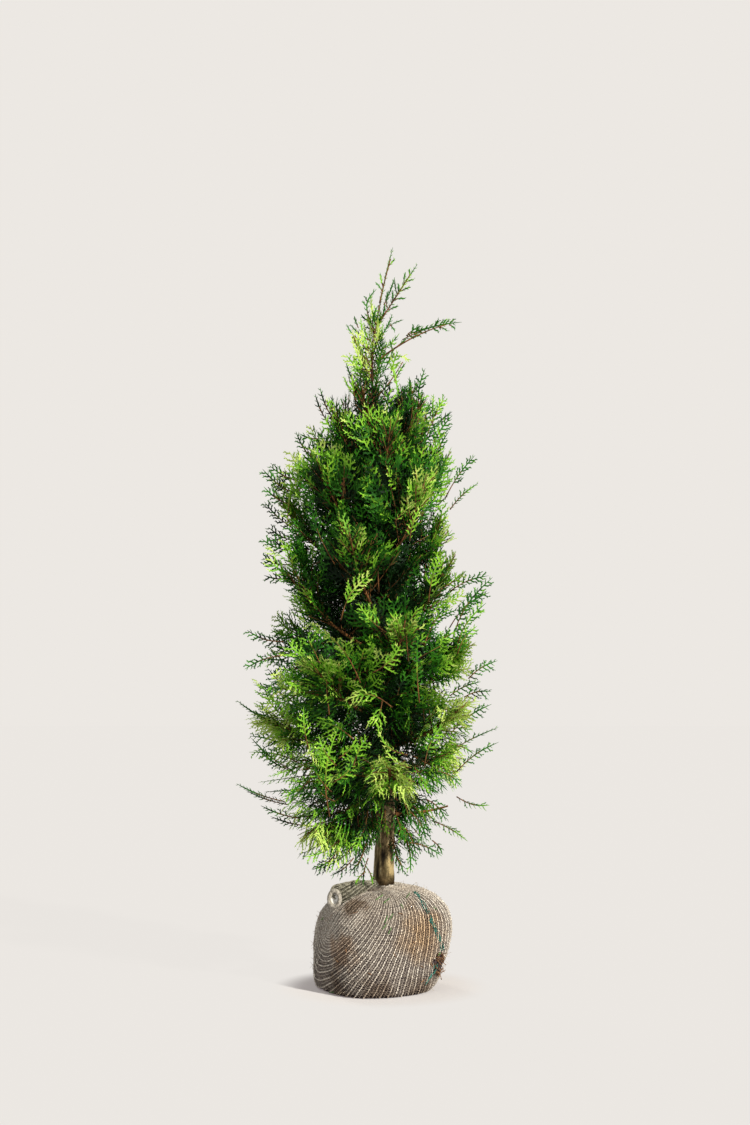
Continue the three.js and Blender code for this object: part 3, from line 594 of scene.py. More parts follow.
class Fronds:
    """Bent shoots of one count: where each starts, which way it goes and lies, its length, bow and rise."""

    def __init__(self, root, ahead, side, normal, long, bow, rise):
        self.root, self.ahead, self.side, self.normal = (x[:, None] for x in (root, ahead, side, normal))
        self.long, self.bow, self.rise = (
            np.broadcast_to(np.asarray(x, float), len(root))[:, None, None] for x in (long, bow, rise))

    def at(self, u):
        bend = self.ahead * u - self.side * (self.bow * np.sin(np.pi * u)) + UP * (self.rise * u * u)
        return self.root + bend * self.long

    def heading(self, u):
        bend = self.side * (self.bow * np.pi * np.cos(np.pi * u))
        return unit(self.ahead - bend + UP * (2 * self.rise * u))

    def ribbons(self, u, half):
        """Quads along the shoots, out to half on each side, at the shares u."""
        line = self.at(u)
        across = np.cross(np.broadcast_to(self.normal, line.shape), self.heading(u)) * half
        edges = np.stack([line - across, line + across], 2)
        return np.concatenate([edges[:, :-1], edges[:, 1:, ::-1]], 2).reshape(-1, 4, 3)


def alternating(length, first, gap):
    """Shares along stems where shoots leave them, on one hand and then the other."""
    count = np.maximum(2, ((length - first) / gap).astype(int))
    k = np.arange(2 * int(count.max()))
    share = (first + (k[None, :] * 0.5 + 0.2) * gap) / length[:, None]
    hand = np.where(k % 2, 1.0, -1.0)[None, :] * np.ones_like(share)
    return share, hand


def side_shoots(fronds, rng, longest, gap, sag, bare):
    """Shoots on both sides of the fronds, bent forward; the share each stands at, and its frond's number."""
    v, hand = alternating(fronds.long[:, 0, 0], bare, gap)
    keep = v < SHOOT["until"]
    v = np.clip(v + rng.normal(0, SHOOT["shift"], v.shape), 0, 1)[..., None]
    base, on = fronds.at(v), fronds.heading(v)
    face = unit(np.broadcast_to(fronds.normal, base.shape) + rng.normal(0, SHOOT["ruffle"], base.shape))
    face = square_to(face, on)
    beside = np.cross(face, on) * hand[..., None]
    fork = np.radians(rng.normal(SHOOT["fork"], SHOOT["fork_spread"], v.shape))
    ahead = on * np.cos(fork) + beside * np.sin(fork)
    share = SHOOT["share"] * (HANG["share"] if sag else 1)
    tall = np.minimum(longest, share * fronds.long) * belly(v) ** 0.8
    tall = np.maximum(tall * rng.uniform(*SHOOT["sizes"], v.shape), SHOOT["shortest"])[..., 0]
    base, ahead, lead, face, tall = (x[keep] for x in (base, ahead, square_to(on, ahead), face, tall))
    return Fronds(base, ahead, lead, face, tall, SHOOT["bow"], -sag), v[keep][:, 0], np.nonzero(keep)[0]


def teeth(shoots, rng, size):
    """Folded four-sided leaves on both sides of the longer shoots, and which of their places are taken."""
    tall = shoots.long[:, 0]
    w, hand = alternating(tall[:, 0], TOOTH["start"], TOOTH["gap"])
    keep = (w < TOOTH["until"]) & (tall > TOOTH["from_length"])
    w = w[..., None]
    beside = np.cross(shoots.normal, shoots.ahead) * hand[..., None]
    fork = np.radians(rng.normal(TOOTH["fork"], TOOTH["fork_spread"], w.shape))
    leaf = unit(shoots.ahead + shoots.side * TOOTH["forward"] + UP * (2 * shoots.rise * w))
    leaf = unit(leaf * np.cos(fork) + beside * np.sin(fork))
    plane = square_to(unit(shoots.normal + rng.normal(0, SHOOT["ruffle"], w.shape[:2] + (3,))), leaf)
    length = lerp(TOOTH["longest"], TOOTH["shortest"], w) * rng.uniform(*TOOTH["sizes"], w.shape) * size
    root = shoots.at(w)
    across = np.cross(plane, leaf) * (TOOTH["width"] * 0.5)
    middle = root + leaf * (length * TOOTH["waist"]) - plane * (TOOTH["width"] * TOOTH["cup"])
    return np.stack([root, middle + across, root + leaf * length, middle - across], axis=-2)[keep], keep


def frond_leaves(fronds, rng, longest, gap, tooth=1.0, sag=0.0, bare=BARE):
    """Quads of stems and shoots, and folded ones of teeth; how far out each stands, and which frond it is on.
    """
    u = np.linspace(0, 1, len(STEM))[None, :, None]
    stems = fronds.ribbons(u, np.array(STEM)[None, :, None])
    each, steps = len(STEM) - 1, SHOOT["steps"]
    stem_out = np.where(np.arange(each) < 2, WOODY, OUT["frond"])
    count = len(fronds.root)

    shoots, share, frond = side_shoots(fronds, rng, longest, gap, sag, bare)
    w = np.linspace(0, 1, steps + 1)[None, :, None]
    width = SHOOT["width"] * (SHOOT["sagging_width"] if sag else 1) * (1 - SHOOT["narrowing"] * w ** 2)
    width = width * np.minimum(1, shoots.long / SHOOT["full_width_from"])
    shoot_out = OUT["frond"] * share[:, None] + OUT["shoot"] * (np.arange(steps) + 1) / steps

    leaves, kept = teeth(shoots, rng, tooth)
    on_shoot = np.nonzero(kept)[0]
    tooth_out = (OUT["frond"] * share + OUT["tooth"])[on_shoot]
    out = np.concatenate([np.tile(stem_out, count), shoot_out.ravel(), tooth_out])
    which = np.concatenate([np.repeat(np.arange(count), each), np.repeat(frond, steps), frond[on_shoot]])
    return np.concatenate([stems, shoots.ribbons(w, width / 2), leaves]), out, which


def random_for(spray, spacing):
    """The random numbers of one spray; another spacing gives other ones."""
    return np.random.default_rng(spray["limb"].index * spacing + spray["draws"])


def spray_leaves(spray):
    """The leaves of one spray, how far out each stands, and each frond's own share of brightness."""
    rng = random_for(spray, DRAWS["leaves"])
    length, nod = spray["length"], spray["nod"]
    shares, hands = (x[0] for x in alternating(np.array([length]), SPRAY["bare"], FROND["gap"]))
    whole = length < FROND["shortest_parent"]  # a short spray is all one frond
    ok = (shares < FROND["until"]) & (not whole)
    shares, hands = shares[ok], hands[ok]
    n = len(shares)
    sizes = rng.uniform(*FROND["sizes"], n)
    long = spread_at(spray, shares, length) * sizes * math.hypot(1, SPRAY["forward"])
    lean = np.radians(rng.normal(FROND["fork"], FROND["fork_spread"], n))[:, None]
    ahead = spray["direction"] * np.cos(lean) + spray["across"] * (hands[:, None] * np.sin(lean))
    ahead = unit(ahead + spray["normal"] * rng.normal(0, FROND["lean"], (n, 1)) - UP * nod * FROND["droop"])
    twist = np.radians(rng.normal(0, FROND["twist"], n))
    normal = turned(np.broadcast_to(spray["normal"], (n, 3)), ahead, twist)
    # The rib's own end is one more frond
    tip_share = FROND["alone"] if whole else FROND["end"]
    root = np.vstack([rib_points(spray, shares, length), rib_points(spray, [tip_share], length)])
    ahead = np.vstack([ahead, unit(rib_points(spray, 1, length) - root[-1])])
    normal = square_to(np.vstack([normal, spray["normal"]]), ahead)
    long = np.append(long, length * (1 - tip_share))
    side = np.cross(ahead, normal)
    side = np.where(((side @ spray["direction"]) < 0)[:, None], -side, side)
    bow = np.append(np.full(n, FROND["bow"]), 0.0)
    rise = FROND["rise"] * spray["limb"].pull - FROND["droop"] * nod
    fronds = Fronds(root, ahead, side, normal, long, bow, rise)
    hang = float(np.clip((HANG["top"] - spray["base"][2]) / (HANG["top"] - HANG["full"]), 0, 1))
    longest = SHOOT["longest"] * lerp(1, HANG["longest"], hang)
    quads, out, which = frond_leaves(
        fronds, rng, longest, SHOOT["gap"], lerp(1, HANG["teeth"], hang), HANG["sag"] * hang)
    return quads, out, rng.uniform(0, 1, n + 1)[which]


def tint_of(spray, quads, out, own):
    """Which tint each leaf takes: painted shade makes it darker inside the crown and lighter outside, and it
    is fresher at each frond's tips.
    """
    rng = random_for(spray, DRAWS["tints"])
    x, y, z = quads.mean(axis=1).T
    beside = np.hypot(x, y)
    outward = x / np.maximum(beside, 1)
    depth = np.clip(beside / between_sides(CROWN, z, outward), 0, 1.1)
    # The depth term paints shade: leaves deep inside the crown take darker tints
    tone = (TONE["spray"] * spray["limb"].chance(spray["draws"], 20) + TONE["frond"] * own
            + TONE["depth"] * depth ** 1.5 + TONE["out"] * out + rng.normal(0, TONE["noise"], len(out))
            + TONE["base"])
    # Painted light on the right and painted shade on the left, and painted light on the outer leaves by
    # height
    zone = np.digitize(z, (LOW, SHOULDER))
    light = np.take(SUNNY, zone) * np.maximum(outward, 0) + np.take(SHADY, zone) * np.minimum(outward, 0)
    tint = np.digitize(tone + (np.interp(z, *zip(*PAINTED_LIGHT_BY_HEIGHT)) + light) * depth ** 2, TONES)
    height = spray["base"][2]
    old = spray["limb"].chance(spray["draws"], 21) > (height - DULL["all_from"]) / DULL["span"]
    if height < DULL["below"] and old:
        tint = np.where((tint < TINTS.index("fresh")) & (depth > DULL["depth"]), TINTS.index("dull"), tint)
    return np.where(out < 0, TINTS.index("stem"), tint)


# Single shoots

def single_shoot(foot, tip, facing, bow, longest, tone, rng):
    """One shoot as a frond: its stem, its leaves and their tints."""
    small, large = longest < SINGLE["small"], longest > SINGLE["large"]
    long = np.linalg.norm(tip - foot)
    ahead = (tip - foot) / long
    normal = square_to(facing + rng.normal(0, SINGLE["facing"], 3), ahead)
    frond = Fronds(*(x[None] for x in (foot, ahead, np.cross(ahead, normal), normal)), long, bow / long, 0)
    sag = SINGLE["sag"] if foot[2] < HANG["top"] and longest > SINGLE["small"] else 0
    gap = SHOOT["gap"] * (SINGLE["closer"] if small else 1)
    quads, out, _ = frond_leaves(frond, rng, longest, gap, 1, sag, SINGLE["bare"] * long if large else BARE)
    tone = tone + SINGLE["out"] * (out - 0.5) + rng.normal(0, SINGLE["noise"], len(out))
    tints = np.digitize(tone, TONES)
    stem_end = SINGLE["stem_at_neck"] if foot[2] > NECK else SINGLE["stem"]
    stem = frond.at(np.linspace(0, stem_end, 6)[None, :, None])[0]
    return stem, quads, np.where(out < 0, TINTS.index("stem"), tints)


def placed_shoots():
    for number, (x, z, to_x, to_z, y, bow, longest, tone) in enumerate(SINGLE_SHOOTS):
        rng = np.random.default_rng(SEED + number)
        foot, tip = np.array([x, y, z]), np.array([to_x, y + rng.normal(0, 6), to_z])
        tone = tone + (SINGLE["lighter_leader"] if z > LEADER else 0)
        yield single_shoot(foot, tip, np.array([0, -1, 0]), bow, longest, tone, rng)


def plumes():
    """Upright shoots round the leader."""
    for number in range(PLUMES["count"]):
        rng = np.random.default_rng(SEED * 2 + number)
        share = number / (PLUMES["count"] - 1)
        foot = trunk_at(lerp(PLUMES["lowest"], PLUMES["highest"], share))
        outward = outward_at(math.radians(LIMBS["step"] * number + rng.uniform(*PLUMES["sway"])))
        fork = math.radians(lerp(*PLUMES["fork"], share) * rng.uniform(*PLUMES["forks"]))
        long = lerp(*PLUMES["length"], share) * rng.uniform(*PLUMES["lengths"])
        tip = foot + (UP * math.cos(fork) + outward * math.sin(fork)) * long
        tone = rng.uniform(*PLUMES["tone"])
        tone += PLUMES["lighter_left"] if outward[0] < PLUMES["left"] else PLUMES["lighter"]
        facing = outward if rng.uniform() < 0.5 else np.cross(outward, UP)
        longest = PLUMES["longest"] * rng.uniform(*PLUMES["sizes"]) * (1 - PLUMES["narrowing"] * share)
        yield single_shoot(foot, tip, facing, PLUMES["bow"], longest, tone, rng)


def hangers():
    """Hanging shoots all round the crown's foot."""
    for number in range(HANGERS["count"]):
        rng = np.random.default_rng(SEED * 3 + number)
        height = lerp(HANGERS["lowest"], HANGERS["highest"], (number + 0.5) / HANGERS["count"])
        outward = outward_at(math.radians(LIMBS["step"] * number))
        reach = max(HANGERS["shortest"], allowed_reach(height, outward[0]))
        foot = outward * (reach * rng.uniform(*HANGERS["foot"])) + UP * height
        tip = outward * (reach * rng.uniform(*HANGERS["tip"])) + UP * (height - rng.uniform(*HANGERS["fall"]))
        short = np.linalg.norm(tip - foot) < HANGERS["shortest"]
        if short or in_opening(*tip) or in_opening(*(0.5 * foot + 0.5 * tip)):
            continue
        facing = unit(outward + UP * rng.uniform(*HANGERS["raised"]))
        # Painted light: lighter on the right
        tone = rng.uniform(*HANGERS["tone"]) + HANGERS["painted_light_right"] * outward[0]
        longest = HANGERS["longest"] * rng.uniform(*HANGERS["sizes"])
        yield single_shoot(foot, tip, facing, 0, longest, tone, rng)


# Meshes

def add_piece(name, verts, faces, material, slot, *nodes, smooth=True):
    """A piece on the root body from vertices in millimetres, which stands for the source's nodes named."""
    mesh = bpy.data.meshes.new(name)
    verts = np.asarray(verts, np.float32) * MM
    faces = np.asarray(faces, np.int32)
    sides = faces.shape[1]
    mesh.vertices.add(len(verts))
    mesh.vertices.foreach_set("co", verts.ravel())
    mesh.loops.add(faces.size)
    mesh.loops.foreach_set("vertex_index", faces.ravel())
    mesh.polygons.add(len(faces))
    mesh.polygons.foreach_set("loop_start", np.arange(0, faces.size, sides, dtype=np.int32))
    mesh.polygons.foreach_set("loop_total", np.full(len(faces), sides, np.int32))
    mesh.polygons.foreach_set("use_smooth", np.full(len(faces), smooth))
    mesh.update(calc_edges=True)
    mesh.validate()
    mesh.materials.append(material)
    obj = bpy.data.objects.new(name, mesh)
    bpy.context.scene.collection.objects.link(obj)
    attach(obj, "root")
    if nodes:
        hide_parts(*nodes)


def grid_faces(rows, around):
    """Quads between rows of vertices that each run all round."""
    i = np.arange(rows - 1)[:, None] * around
    j = np.arange(around)[None, :]
    k = (j + 1) % around
    return np.stack([i + j, i + k, i + around + k, i + around + j], -1).reshape(-1, 4)


def halved(quads):
    return np.vstack([quads[:, [0, 1, 2]], quads[:, [0, 2, 3]]])


def joined(parts):
    """One vertex and face array from several."""
    verts, faces, offset = [], [], 0
    for v, f in parts:
        verts.append(v)
        faces.append(f + offset)
        offset += len(v)
    return np.vstack(verts), np.vstack(faces)


def tube(points, radii, sides):
    """Vertices and triangles of a closed tube through points, (n, 3), with a radius at each."""
    points = np.asarray(points, float)
    tangents = unit(np.gradient(points, axis=0))
    ref = np.eye(3)[0 if abs(tangents[0][0]) < 0.8 else 1]
    x_axes = []
    for tangent in tangents:
        ref = square_to(ref, tangent)
        x_axes.append(ref)
    x_axes = np.array(x_axes)
    y_axes = np.cross(tangents, x_axes)
    angle = turns(sides)[None, :, None]
    ring = x_axes[:, None] * np.cos(angle) + y_axes[:, None] * np.sin(angle)
    verts = (points[:, None] + ring * np.asarray(radii)[:, None, None]).reshape(-1, 3)
    j = np.arange(sides)
    k = (j + 1) % sides
    foot, tip = (np.full(sides, len(verts) + end) for end in (0, 1))
    top = (len(points) - 1) * sides
    caps = np.stack([foot, k, j], -1), np.stack([tip, top + j, top + k], -1)
    faces = np.vstack([halved(grid_faces(len(points), sides)), *caps])
    return np.vstack([verts, points[0], points[-1]]), faces


def strands(lines, normals, radius, sides):
    """Vertices and triangles of open tubes along many lines of one count, (n, m, 3)."""
    n, m = lines.shape[:2]
    tangents = unit(np.gradient(lines, axis=1))
    x_axes = unit(np.cross(normals, tangents))
    y_axes = np.cross(tangents, x_axes)
    angle = turns(sides)[:, None]
    ring = x_axes[:, :, None] * np.cos(angle) + y_axes[:, :, None] * np.sin(angle)
    radius = np.broadcast_to(radius, (n, m))[:, :, None, None]
    verts = (lines[:, :, None] + ring * radius).reshape(-1, 3)
    faces = np.arange(n)[:, None, None] * (m * sides) + grid_faces(m, sides)
    return verts, halved(faces.reshape(-1, 4))


def strand(line, normal, radius, sides):
    """The same for one line, with a normal at each point or one for all of it."""
    return strands(line[None], np.broadcast_to(normal, line.shape)[None], radius, sides)


# Materials

def feed(socket, value):
    """Sets a socket's value, or joins another node's output to it."""
    if isinstance(value, bpy.types.NodeSocket):
        socket.id_data.links.new(value, socket)
    else:
        socket.default_value = (*value, 1) if socket.type == "RGBA" else value


def node(tree, kind, output, inputs, **settings):
    """A new node with its settings and what goes into it; gives the output named."""
    made = tree.nodes.new(f"ShaderNode{kind}")
    for name, value in settings.items():
        setattr(made, name, value)
    for name, value in inputs.items():
        feed(made.inputs[name], value)
    return made.outputs[output]


def object_place(tree):
    return node(tree, "TexCoord", "Object", {})


def noisy(tree, place, scale, detail, roughness=0.5):
    return node(tree, "TexNoise", "Fac",
                {"Vector": place, "Scale": scale, "Detail": detail, "Roughness": roughness})


def ramp(tree, share, *stops):
    """The colour that a share has between stops, each a place and a colour."""
    colour = node(tree, "ValToRGB", "Color", {"Fac": share})
    elements = colour.node.color_ramp.elements
    for element, (place, tone) in zip(elements, (stops[0], stops[-1])):
        element.position = place
        element.color = (*tone, 1)
    for place, tone in stops[1:-1]:
        elements.new(place).color = (*tone, 1)
    return colour


def mixed(tree, share, a, b, blend="MIX"):
    return node(tree, "Mix", "Result", {"Factor": share, "A": a, "B": b}, data_type="RGBA", blend_type=blend)


def ranged(tree, value, start, end, low=0, high=1, **settings):
    """A value taken from start to end and laid out from low to high."""
    ends = {"From Min": start, "From Max": end, "To Min": low, "To Max": high}
    return node(tree, "MapRange", "Result", {"Value": value, **ends}, **settings)


def vector(tree, operation, output, *inputs):
    return node(tree, "VectorMath", output, dict(enumerate(inputs)), operation=operation)


def multiplied(tree, value, by, plus):
    return node(tree, "Math", "Value", {0: value, 1: by, 2: plus}, operation="MULTIPLY_ADD")


def bumped(tree, height, strength, distance):
    return node(tree, "Bump", "Normal", {"Height": height, "Strength": strength, "Distance": distance})


def new_material(name, roughness, specular=0.15):
    """A material, its node tree and the inputs of its surface."""
    material = bpy.data.materials.new(name)
    material.use_nodes = True
    surface = material.node_tree.nodes["Principled BSDF"].inputs
    feed(surface["Roughness"], roughness)
    feed(surface["Specular IOR Level"], specular)
    return material, material.node_tree, surface


def leaf_material(name, dark, light, glow):
    """Scale leaves: two greens mixed by a fine noise, satin, with some light let through."""
    material, tree, surface = new_material(name, 0.55)
    spots = noisy(tree, object_place(tree), 42, 3)
    feed(surface["Base Color"], ramp(tree, spots, (0.36, dark), (0.66, light)))
    through = node(tree, "BsdfTranslucent", "BSDF", {"Color": glow})
    solid = tree.nodes["Principled BSDF"].outputs["BSDF"]
    both = node(tree, "MixShader", "Shader", {"Fac": 0.16, 1: solid, 2: through})
    feed(tree.nodes["Material Output"].inputs["Surface"], both)
    return material


def bark_material(name, dark, light, scale, ridge):
    """Young bark, with a grain that runs up it."""
    material, tree, surface = new_material(name, 0.85)
    stretched = node(tree, "Mapping", "Vector", {"Vector": object_place(tree), "Scale": (1, 1, 0.16)})
    grain = noisy(tree, stretched, scale, 6)
    feed(surface["Base Color"], ramp(tree, grain, (0.34, dark), (0.68, light)))
    feed(surface["Normal"], bumped(tree, grain, ridge, 0.002))
    return material


def trunk_material():
    """Bark that is olive and tan with pale flakes at the foot, and reddish brown higher up."""
    material, tree, surface = new_material("trunk_bark", 0.85)
    place = object_place(tree)
    stretched = node(tree, "Mapping", "Vector", {"Vector": place, "Scale": (1, 1, 0.14)})
    grain, flakes = (noisy(tree, stretched, scale, 6) for scale in (120, 46))
    blend = node(tree, "Mix", "Result", {"Factor": 0.5, "A": grain, "B": flakes})
    below, above = (ramp(tree, blend, *zip((0.40, 0.5, 0.62), colours)) for colours in BARK_COLOURS)
    height = node(tree, "SeparateXYZ", "Z", {"Vector": place})
    colour = mixed(tree, ranged(tree, height, *BARK_CHANGE), below, above)
    # A pale flake on the right of the foot
    apart = vector(tree, "SUBTRACT", "Vector", place, [k * MM for k in FLAKE["at"]])
    apart = vector(tree, "MULTIPLY", "Vector", apart, [1 / (k * MM) for k in FLAKE["size"]])
    edge = multiplied(tree, blend, 1.6, vector(tree, "LENGTH", "Value", apart))
    colour = mixed(tree, ranged(tree, edge, 1.5, 1.9, 0.8, 0), colour, FLAKE["colour"])
    # Darker towards the trunk's foot
    foot = ranged(tree, height, FOOT_DARKENING["full"], FOOT_DARKENING["none"], 1, 0)
    feed(surface["Base Color"], mixed(tree, foot, colour, FOOT_DARKENING["colour"], "MULTIPLY"))
    feed(surface["Normal"], bumped(tree, blend, 0.8, 0.003))
    return material


# Foliage and wood

def band_at(height):
    return int(np.digitize(height, LEAF_BANDS))


def build_foliage(limbs, sprays, shoots):
    """The leaves of each tint and height band as one piece, in place of the band's foliage."""
    leaves = {(tint, band): [] for tint in range(len(TINTS)) for band in range(len(BAND_NAMES))}
    groups = [(band_at(spray["limb"].at(0.5)[2]), quads, tint_of(spray, quads, out, own))
              for spray in sprays for quads, out, own in [spray_leaves(spray)]]
    groups += [(band_at(stem[0][2]), quads, tints) for stem, quads, tints in shoots]
    for band, quads, tints in groups:
        for tint in np.unique(tints):
            leaves[tint, band].append(quads[tints == tint])
    materials = [leaf_material(f"leaf_{tint}", *colours) for tint, colours in LEAF_COLOURS.items()]
    for (tint, band), parts in leaves.items():
        if not parts:
            continue
        verts = np.concatenate(parts).reshape(-1, 3)
        faces = halved(np.arange(len(verts)).reshape(-1, 4))
        nodes = [f"{limb.name}_foliage" for limb in limbs if band_at(limb.at(0.5)[2]) == band]
        name = f"{TINTS[tint]}_leaves_{BAND_NAMES[band]}"
        add_piece(name, verts, faces, materials[tint], "foliage", *nodes, smooth=False)


def build_twigs(limbs, sprays, shoots, material):
    """Stems of the limbs beyond their boughs, and the ribs of the sprays."""
    parts = []
    for limb in limbs:
        end = LIMBS["stem_end"] if limb.single else leafy_end(limb)
        t = np.linspace(limb.wood if limb.wood else 0.04, end + 0.03, 12)
        parts.append(tube([limb.at(k) for k in t], [max(1.0, limb.radius(k) * 0.9) for k in t], 6))
    for stem, _, _ in shoots:
        parts.append(tube(stem, np.linspace(1.4, 0.7, len(stem)), 4))
    for spray in sprays:
        share = np.linspace(0, 0.96, 6)
        parts.append(tube(rib_points(spray, share, spray["length"]), lerp(1.25, 0.6, share), 3))
    add_piece("twigs", *joined(parts), material, "bough_bark")


def build_boughs(limbs, material):
    woody = [limb for limb in limbs if limb.wood]
    parts = []
    for limb in woody:
        t = np.linspace(0.01, limb.wood + 0.01, 14)
        parts.append(tube([limb.at(k) for k in t], [limb.radius(k) for k in t], 8))
    add_piece("boughs", *joined(parts), material, "bough_bark", *[f"{limb.name}_bough" for limb in woody])


def bark_radius(angle, z):
    """The trunk's radius with furrows that run up it, scales with raised edges, and a split near its foot."""
    c, s = math.cos(angle), math.sin(angle)
    furrow = noise.fractal(Vector((c * 3.2, s * 3.2, z * 0.012)), 0.8, 2.2, 4)
    flake = noise.noise(Vector((c * 5, s * 5, z * 0.035)))
    scale = math.floor(BARK["step"] * (flake + 0.5)) / BARK["step"] - 0.5
    above = z - TRUNK_FOOT
    turn = (angle - BARK["split_side"] - BARK["split_lean"] * above + math.pi) % (2 * math.pi) - math.pi
    split = math.exp(-(turn / BARK["split_width"]) ** 2) * max(0, 1 - above / BARK["split_height"])
    relief = 1 + BARK["furrows"] * furrow + BARK["scales"] * scale - BARK["split_depth"] * split
    return trunk_radius(z) * relief - BARK["inset"]


def build_trunk(material):
    rings, sides = BARK["rings"], BARK["sides"]
    verts = []
    for z in lerp(TRUNK_FOOT, TRUNK_TOP, np.linspace(0, 1, rings) ** 1.25):
        x, y, _ = trunk_at(z)
        for angle in turns(sides):
            r = bark_radius(angle, z)
            verts.append((x + math.cos(angle) * r, y + math.sin(angle) * r, z))
    add_piece("trunk_bark", verts, grid_faces(rings, sides), material, "trunk_bark", "trunk")


# Root ball

BALL_CENTRE = UP * BALL["middle"]
GATHER_WAY = unit(np.array(GATHER, float))
POLE_WAY = unit(np.array(POLE, float))
POLE_ANGLE = math.acos(GATHER_WAY @ POLE_WAY)
TOWARDS_POLE = square_to(POLE_WAY, GATHER_WAY)
BESIDE_POLE = np.cross(GATHER_WAY, TOWARDS_POLE)


def ball_radius(way):
    """How far the wrap lies from the ball's centre in each direction."""
    turn = math.radians(BALL["turn"])
    x, y, z = way[..., 0], way[..., 1], way[..., 2]
    across = np.abs(x * math.cos(turn) + y * math.sin(turn)) / BALL["half_width"]
    along = np.abs(y * math.cos(turn) - x * math.sin(turn)) / BALL["half_depth"]
    plan = (across ** BALL["plan"] + along ** BALL["plan"]) ** (1 / BALL["plan"])
    rise = np.abs(z) / np.where(z > 0, BALL["up"], BALL["down"])
    bend = np.where(z > 0, BALL["upper"], BALL["lower"])
    radius = (plan ** bend + rise ** bend) ** (-1 / bend)
    for to, by, wide in BALL_LUMPS:
        radius = radius * (1 + by * np.exp((way @ unit(np.array(to)) - 1) / wide))
    return np.where(z < 0, np.minimum(radius, BALL["middle"] / np.maximum(-z, 1e-6)), radius)


def on_ball(way):
    return BALL_CENTRE + way * ball_radius(way)[..., None]


def on_wrap(way, lift):
    """Points over the wrap, with the soil's small lumps."""
    lumps = np.array([noise.noise(Vector(w * 5.2)) for w in way.reshape(-1, 3)]).reshape(way.shape[:-1])
    points = BALL_CENTRE + way * (ball_radius(way) + lift + SHEET["lumps"] * lumps)[..., None]
    points[..., 2] = np.maximum(points[..., 2], 0)
    return points


def wrap_normals(way):
    side = unit(np.cross(way, np.where(np.abs(way[..., 2:]) > 0.95, [1.0, 0, 0], UP)))
    span = []
    for axis in (side, np.cross(side, way)):
        before, after = (on_ball(unit(way + axis * step)) for step in (-0.02, 0.02))
        span.append(after - before)
    normal = unit(np.cross(*span))
    return np.where((normal * way).sum(-1, keepdims=True) < 0, -normal, normal)


def front_of_wrap(x, z):
    """The direction of the wrap's front at a place across and a height."""
    y = np.arange(-170, 0, 0.5)
    points = np.stack([np.full_like(y, x), y, np.full_like(y, z - BALL["middle"])], -1)
    inside = np.linalg.norm(points, axis=1) <= ball_radius(unit(points))
    return unit(points[np.argmax(inside)])


def strayed(way):
    """Directions moved a little, as the knit is pulled unevenly."""
    moved = [noise.noise_vector(Vector(w * 6)) + noise.noise_vector(Vector(w * 21)) * 0.4 for w in way]
    return unit(way + np.array(moved) * (RIBS["stray"] / BALL["half_width"]))


def torn(way):
    """Whether directions lie in the torn patch."""
    x, y, z = np.moveaxis(on_ball(way), -1, 0)
    across = (x - TEAR["at"][0]) / TEAR["wide"]
    up = (z - TEAR["at"][1]) / TEAR["high"]
    return (across ** 2 + up ** 2 < 1) & (y < 0)


def runs(kept):
    """The stretches of a yarn that are kept, as indexes, without the shortest ones."""
    ends = np.nonzero(np.diff(kept.astype(int)))[0] + 1
    return [run for run in np.split(np.arange(len(kept)), ends) if kept[run[0]] and len(run) > 3]


def jute_material(name, dark, light, scale, stains_and_shade=()):
    """Dull plant fibre: two tones mixed by noise, with earth stains and painted shade where the table given
    puts them.
    """
    material, tree, surface = new_material(name, 0.95)
    place = object_place(tree)
    fibre = noisy(tree, place, scale, 4, 0.65)
    colour = ramp(tree, fibre, (0.38, dark), (0.62, light))
    blotch = noisy(tree, place, 34, 5)
    # Each entry, an earth stain or painted shade, is multiplied into the colour
    for at, radius, strength, stain_and_shade_colour in stains_and_shade:
        apart = vector(tree, "DISTANCE", "Value", place, on_ball(front_of_wrap(*at)) * MM)
        edge = multiplied(tree, blotch, STAIN_AND_SHADE_EDGE["ragged"], apart)
        fade = ranged(tree, edge, STAIN_AND_SHADE_EDGE["start"], radius * MM + STAIN_AND_SHADE_EDGE["end"], strength, 0)
        colour = mixed(tree, fade, colour, stain_and_shade_colour, "MULTIPLY")
    feed(surface["Base Color"], colour)
    feed(surface["Normal"], bumped(tree, fibre, 0.5, 0.001))
    return material


def build_sheet(material):
    """The loose ground of the knit that shows dark between the ribs."""
    around, down = SHEET["around"], SHEET["down"]
    turn = turns(around)[None, :]
    tilt = np.linspace(0.001, np.pi - 0.001, down)[:, None]
    way = np.stack([np.cos(turn) * np.sin(tilt), np.sin(turn) * np.sin(tilt), np.cos(tilt) + 0 * turn], -1)
    verts = on_wrap(way, SHEET["lift"]).reshape(-1, 3)
    faces = grid_faces(down, around)[:, [0, 3, 2, 1]]
    add_piece("wrap_ground", verts, faces, material, "jute_wrap", "root_ball")


# Ribs and threads of the knit

def rib_ways(level, hand, start, step):
    """Directions along one rib: it leaves the gather at an angle and bends round the pole."""
    azimuth = level - (level + RIBS["across"]) * np.linspace(0, 1, 900)[1:] ** 2
    angle = 2 * POLE_ANGLE * (np.cos(azimuth) - math.cos(level)) / math.sin(level) ** 2
    azimuth, angle = azimuth[angle < 3], angle[angle < 3]
    azimuth = azimuth - hand * RIBS["bend"] * (angle - POLE_ANGLE)
    out = TOWARDS_POLE * np.cos(azimuth)[:, None] + BESIDE_POLE * (hand * np.sin(azimuth))[:, None]
    way = GATHER_WAY * np.cos(angle)[:, None] + out * np.sin(angle)[:, None]
    points = on_ball(way)
    low = np.nonzero(points[:, 2] < 1.5)[0]
    end = low[0] if len(low) else len(points)
    points, way = points[:end], way[:end]
    along = np.append(0, np.cumsum(np.linalg.norm(np.diff(points, axis=0), axis=1)))
    first = np.linalg.norm(points[0] - on_ball(GATHER_WAY))
    marks = np.arange(start, first + along[-1], step) - first
    return unit(np.stack([np.interp(marks, along, way[:, k]) for k in range(3)], -1))


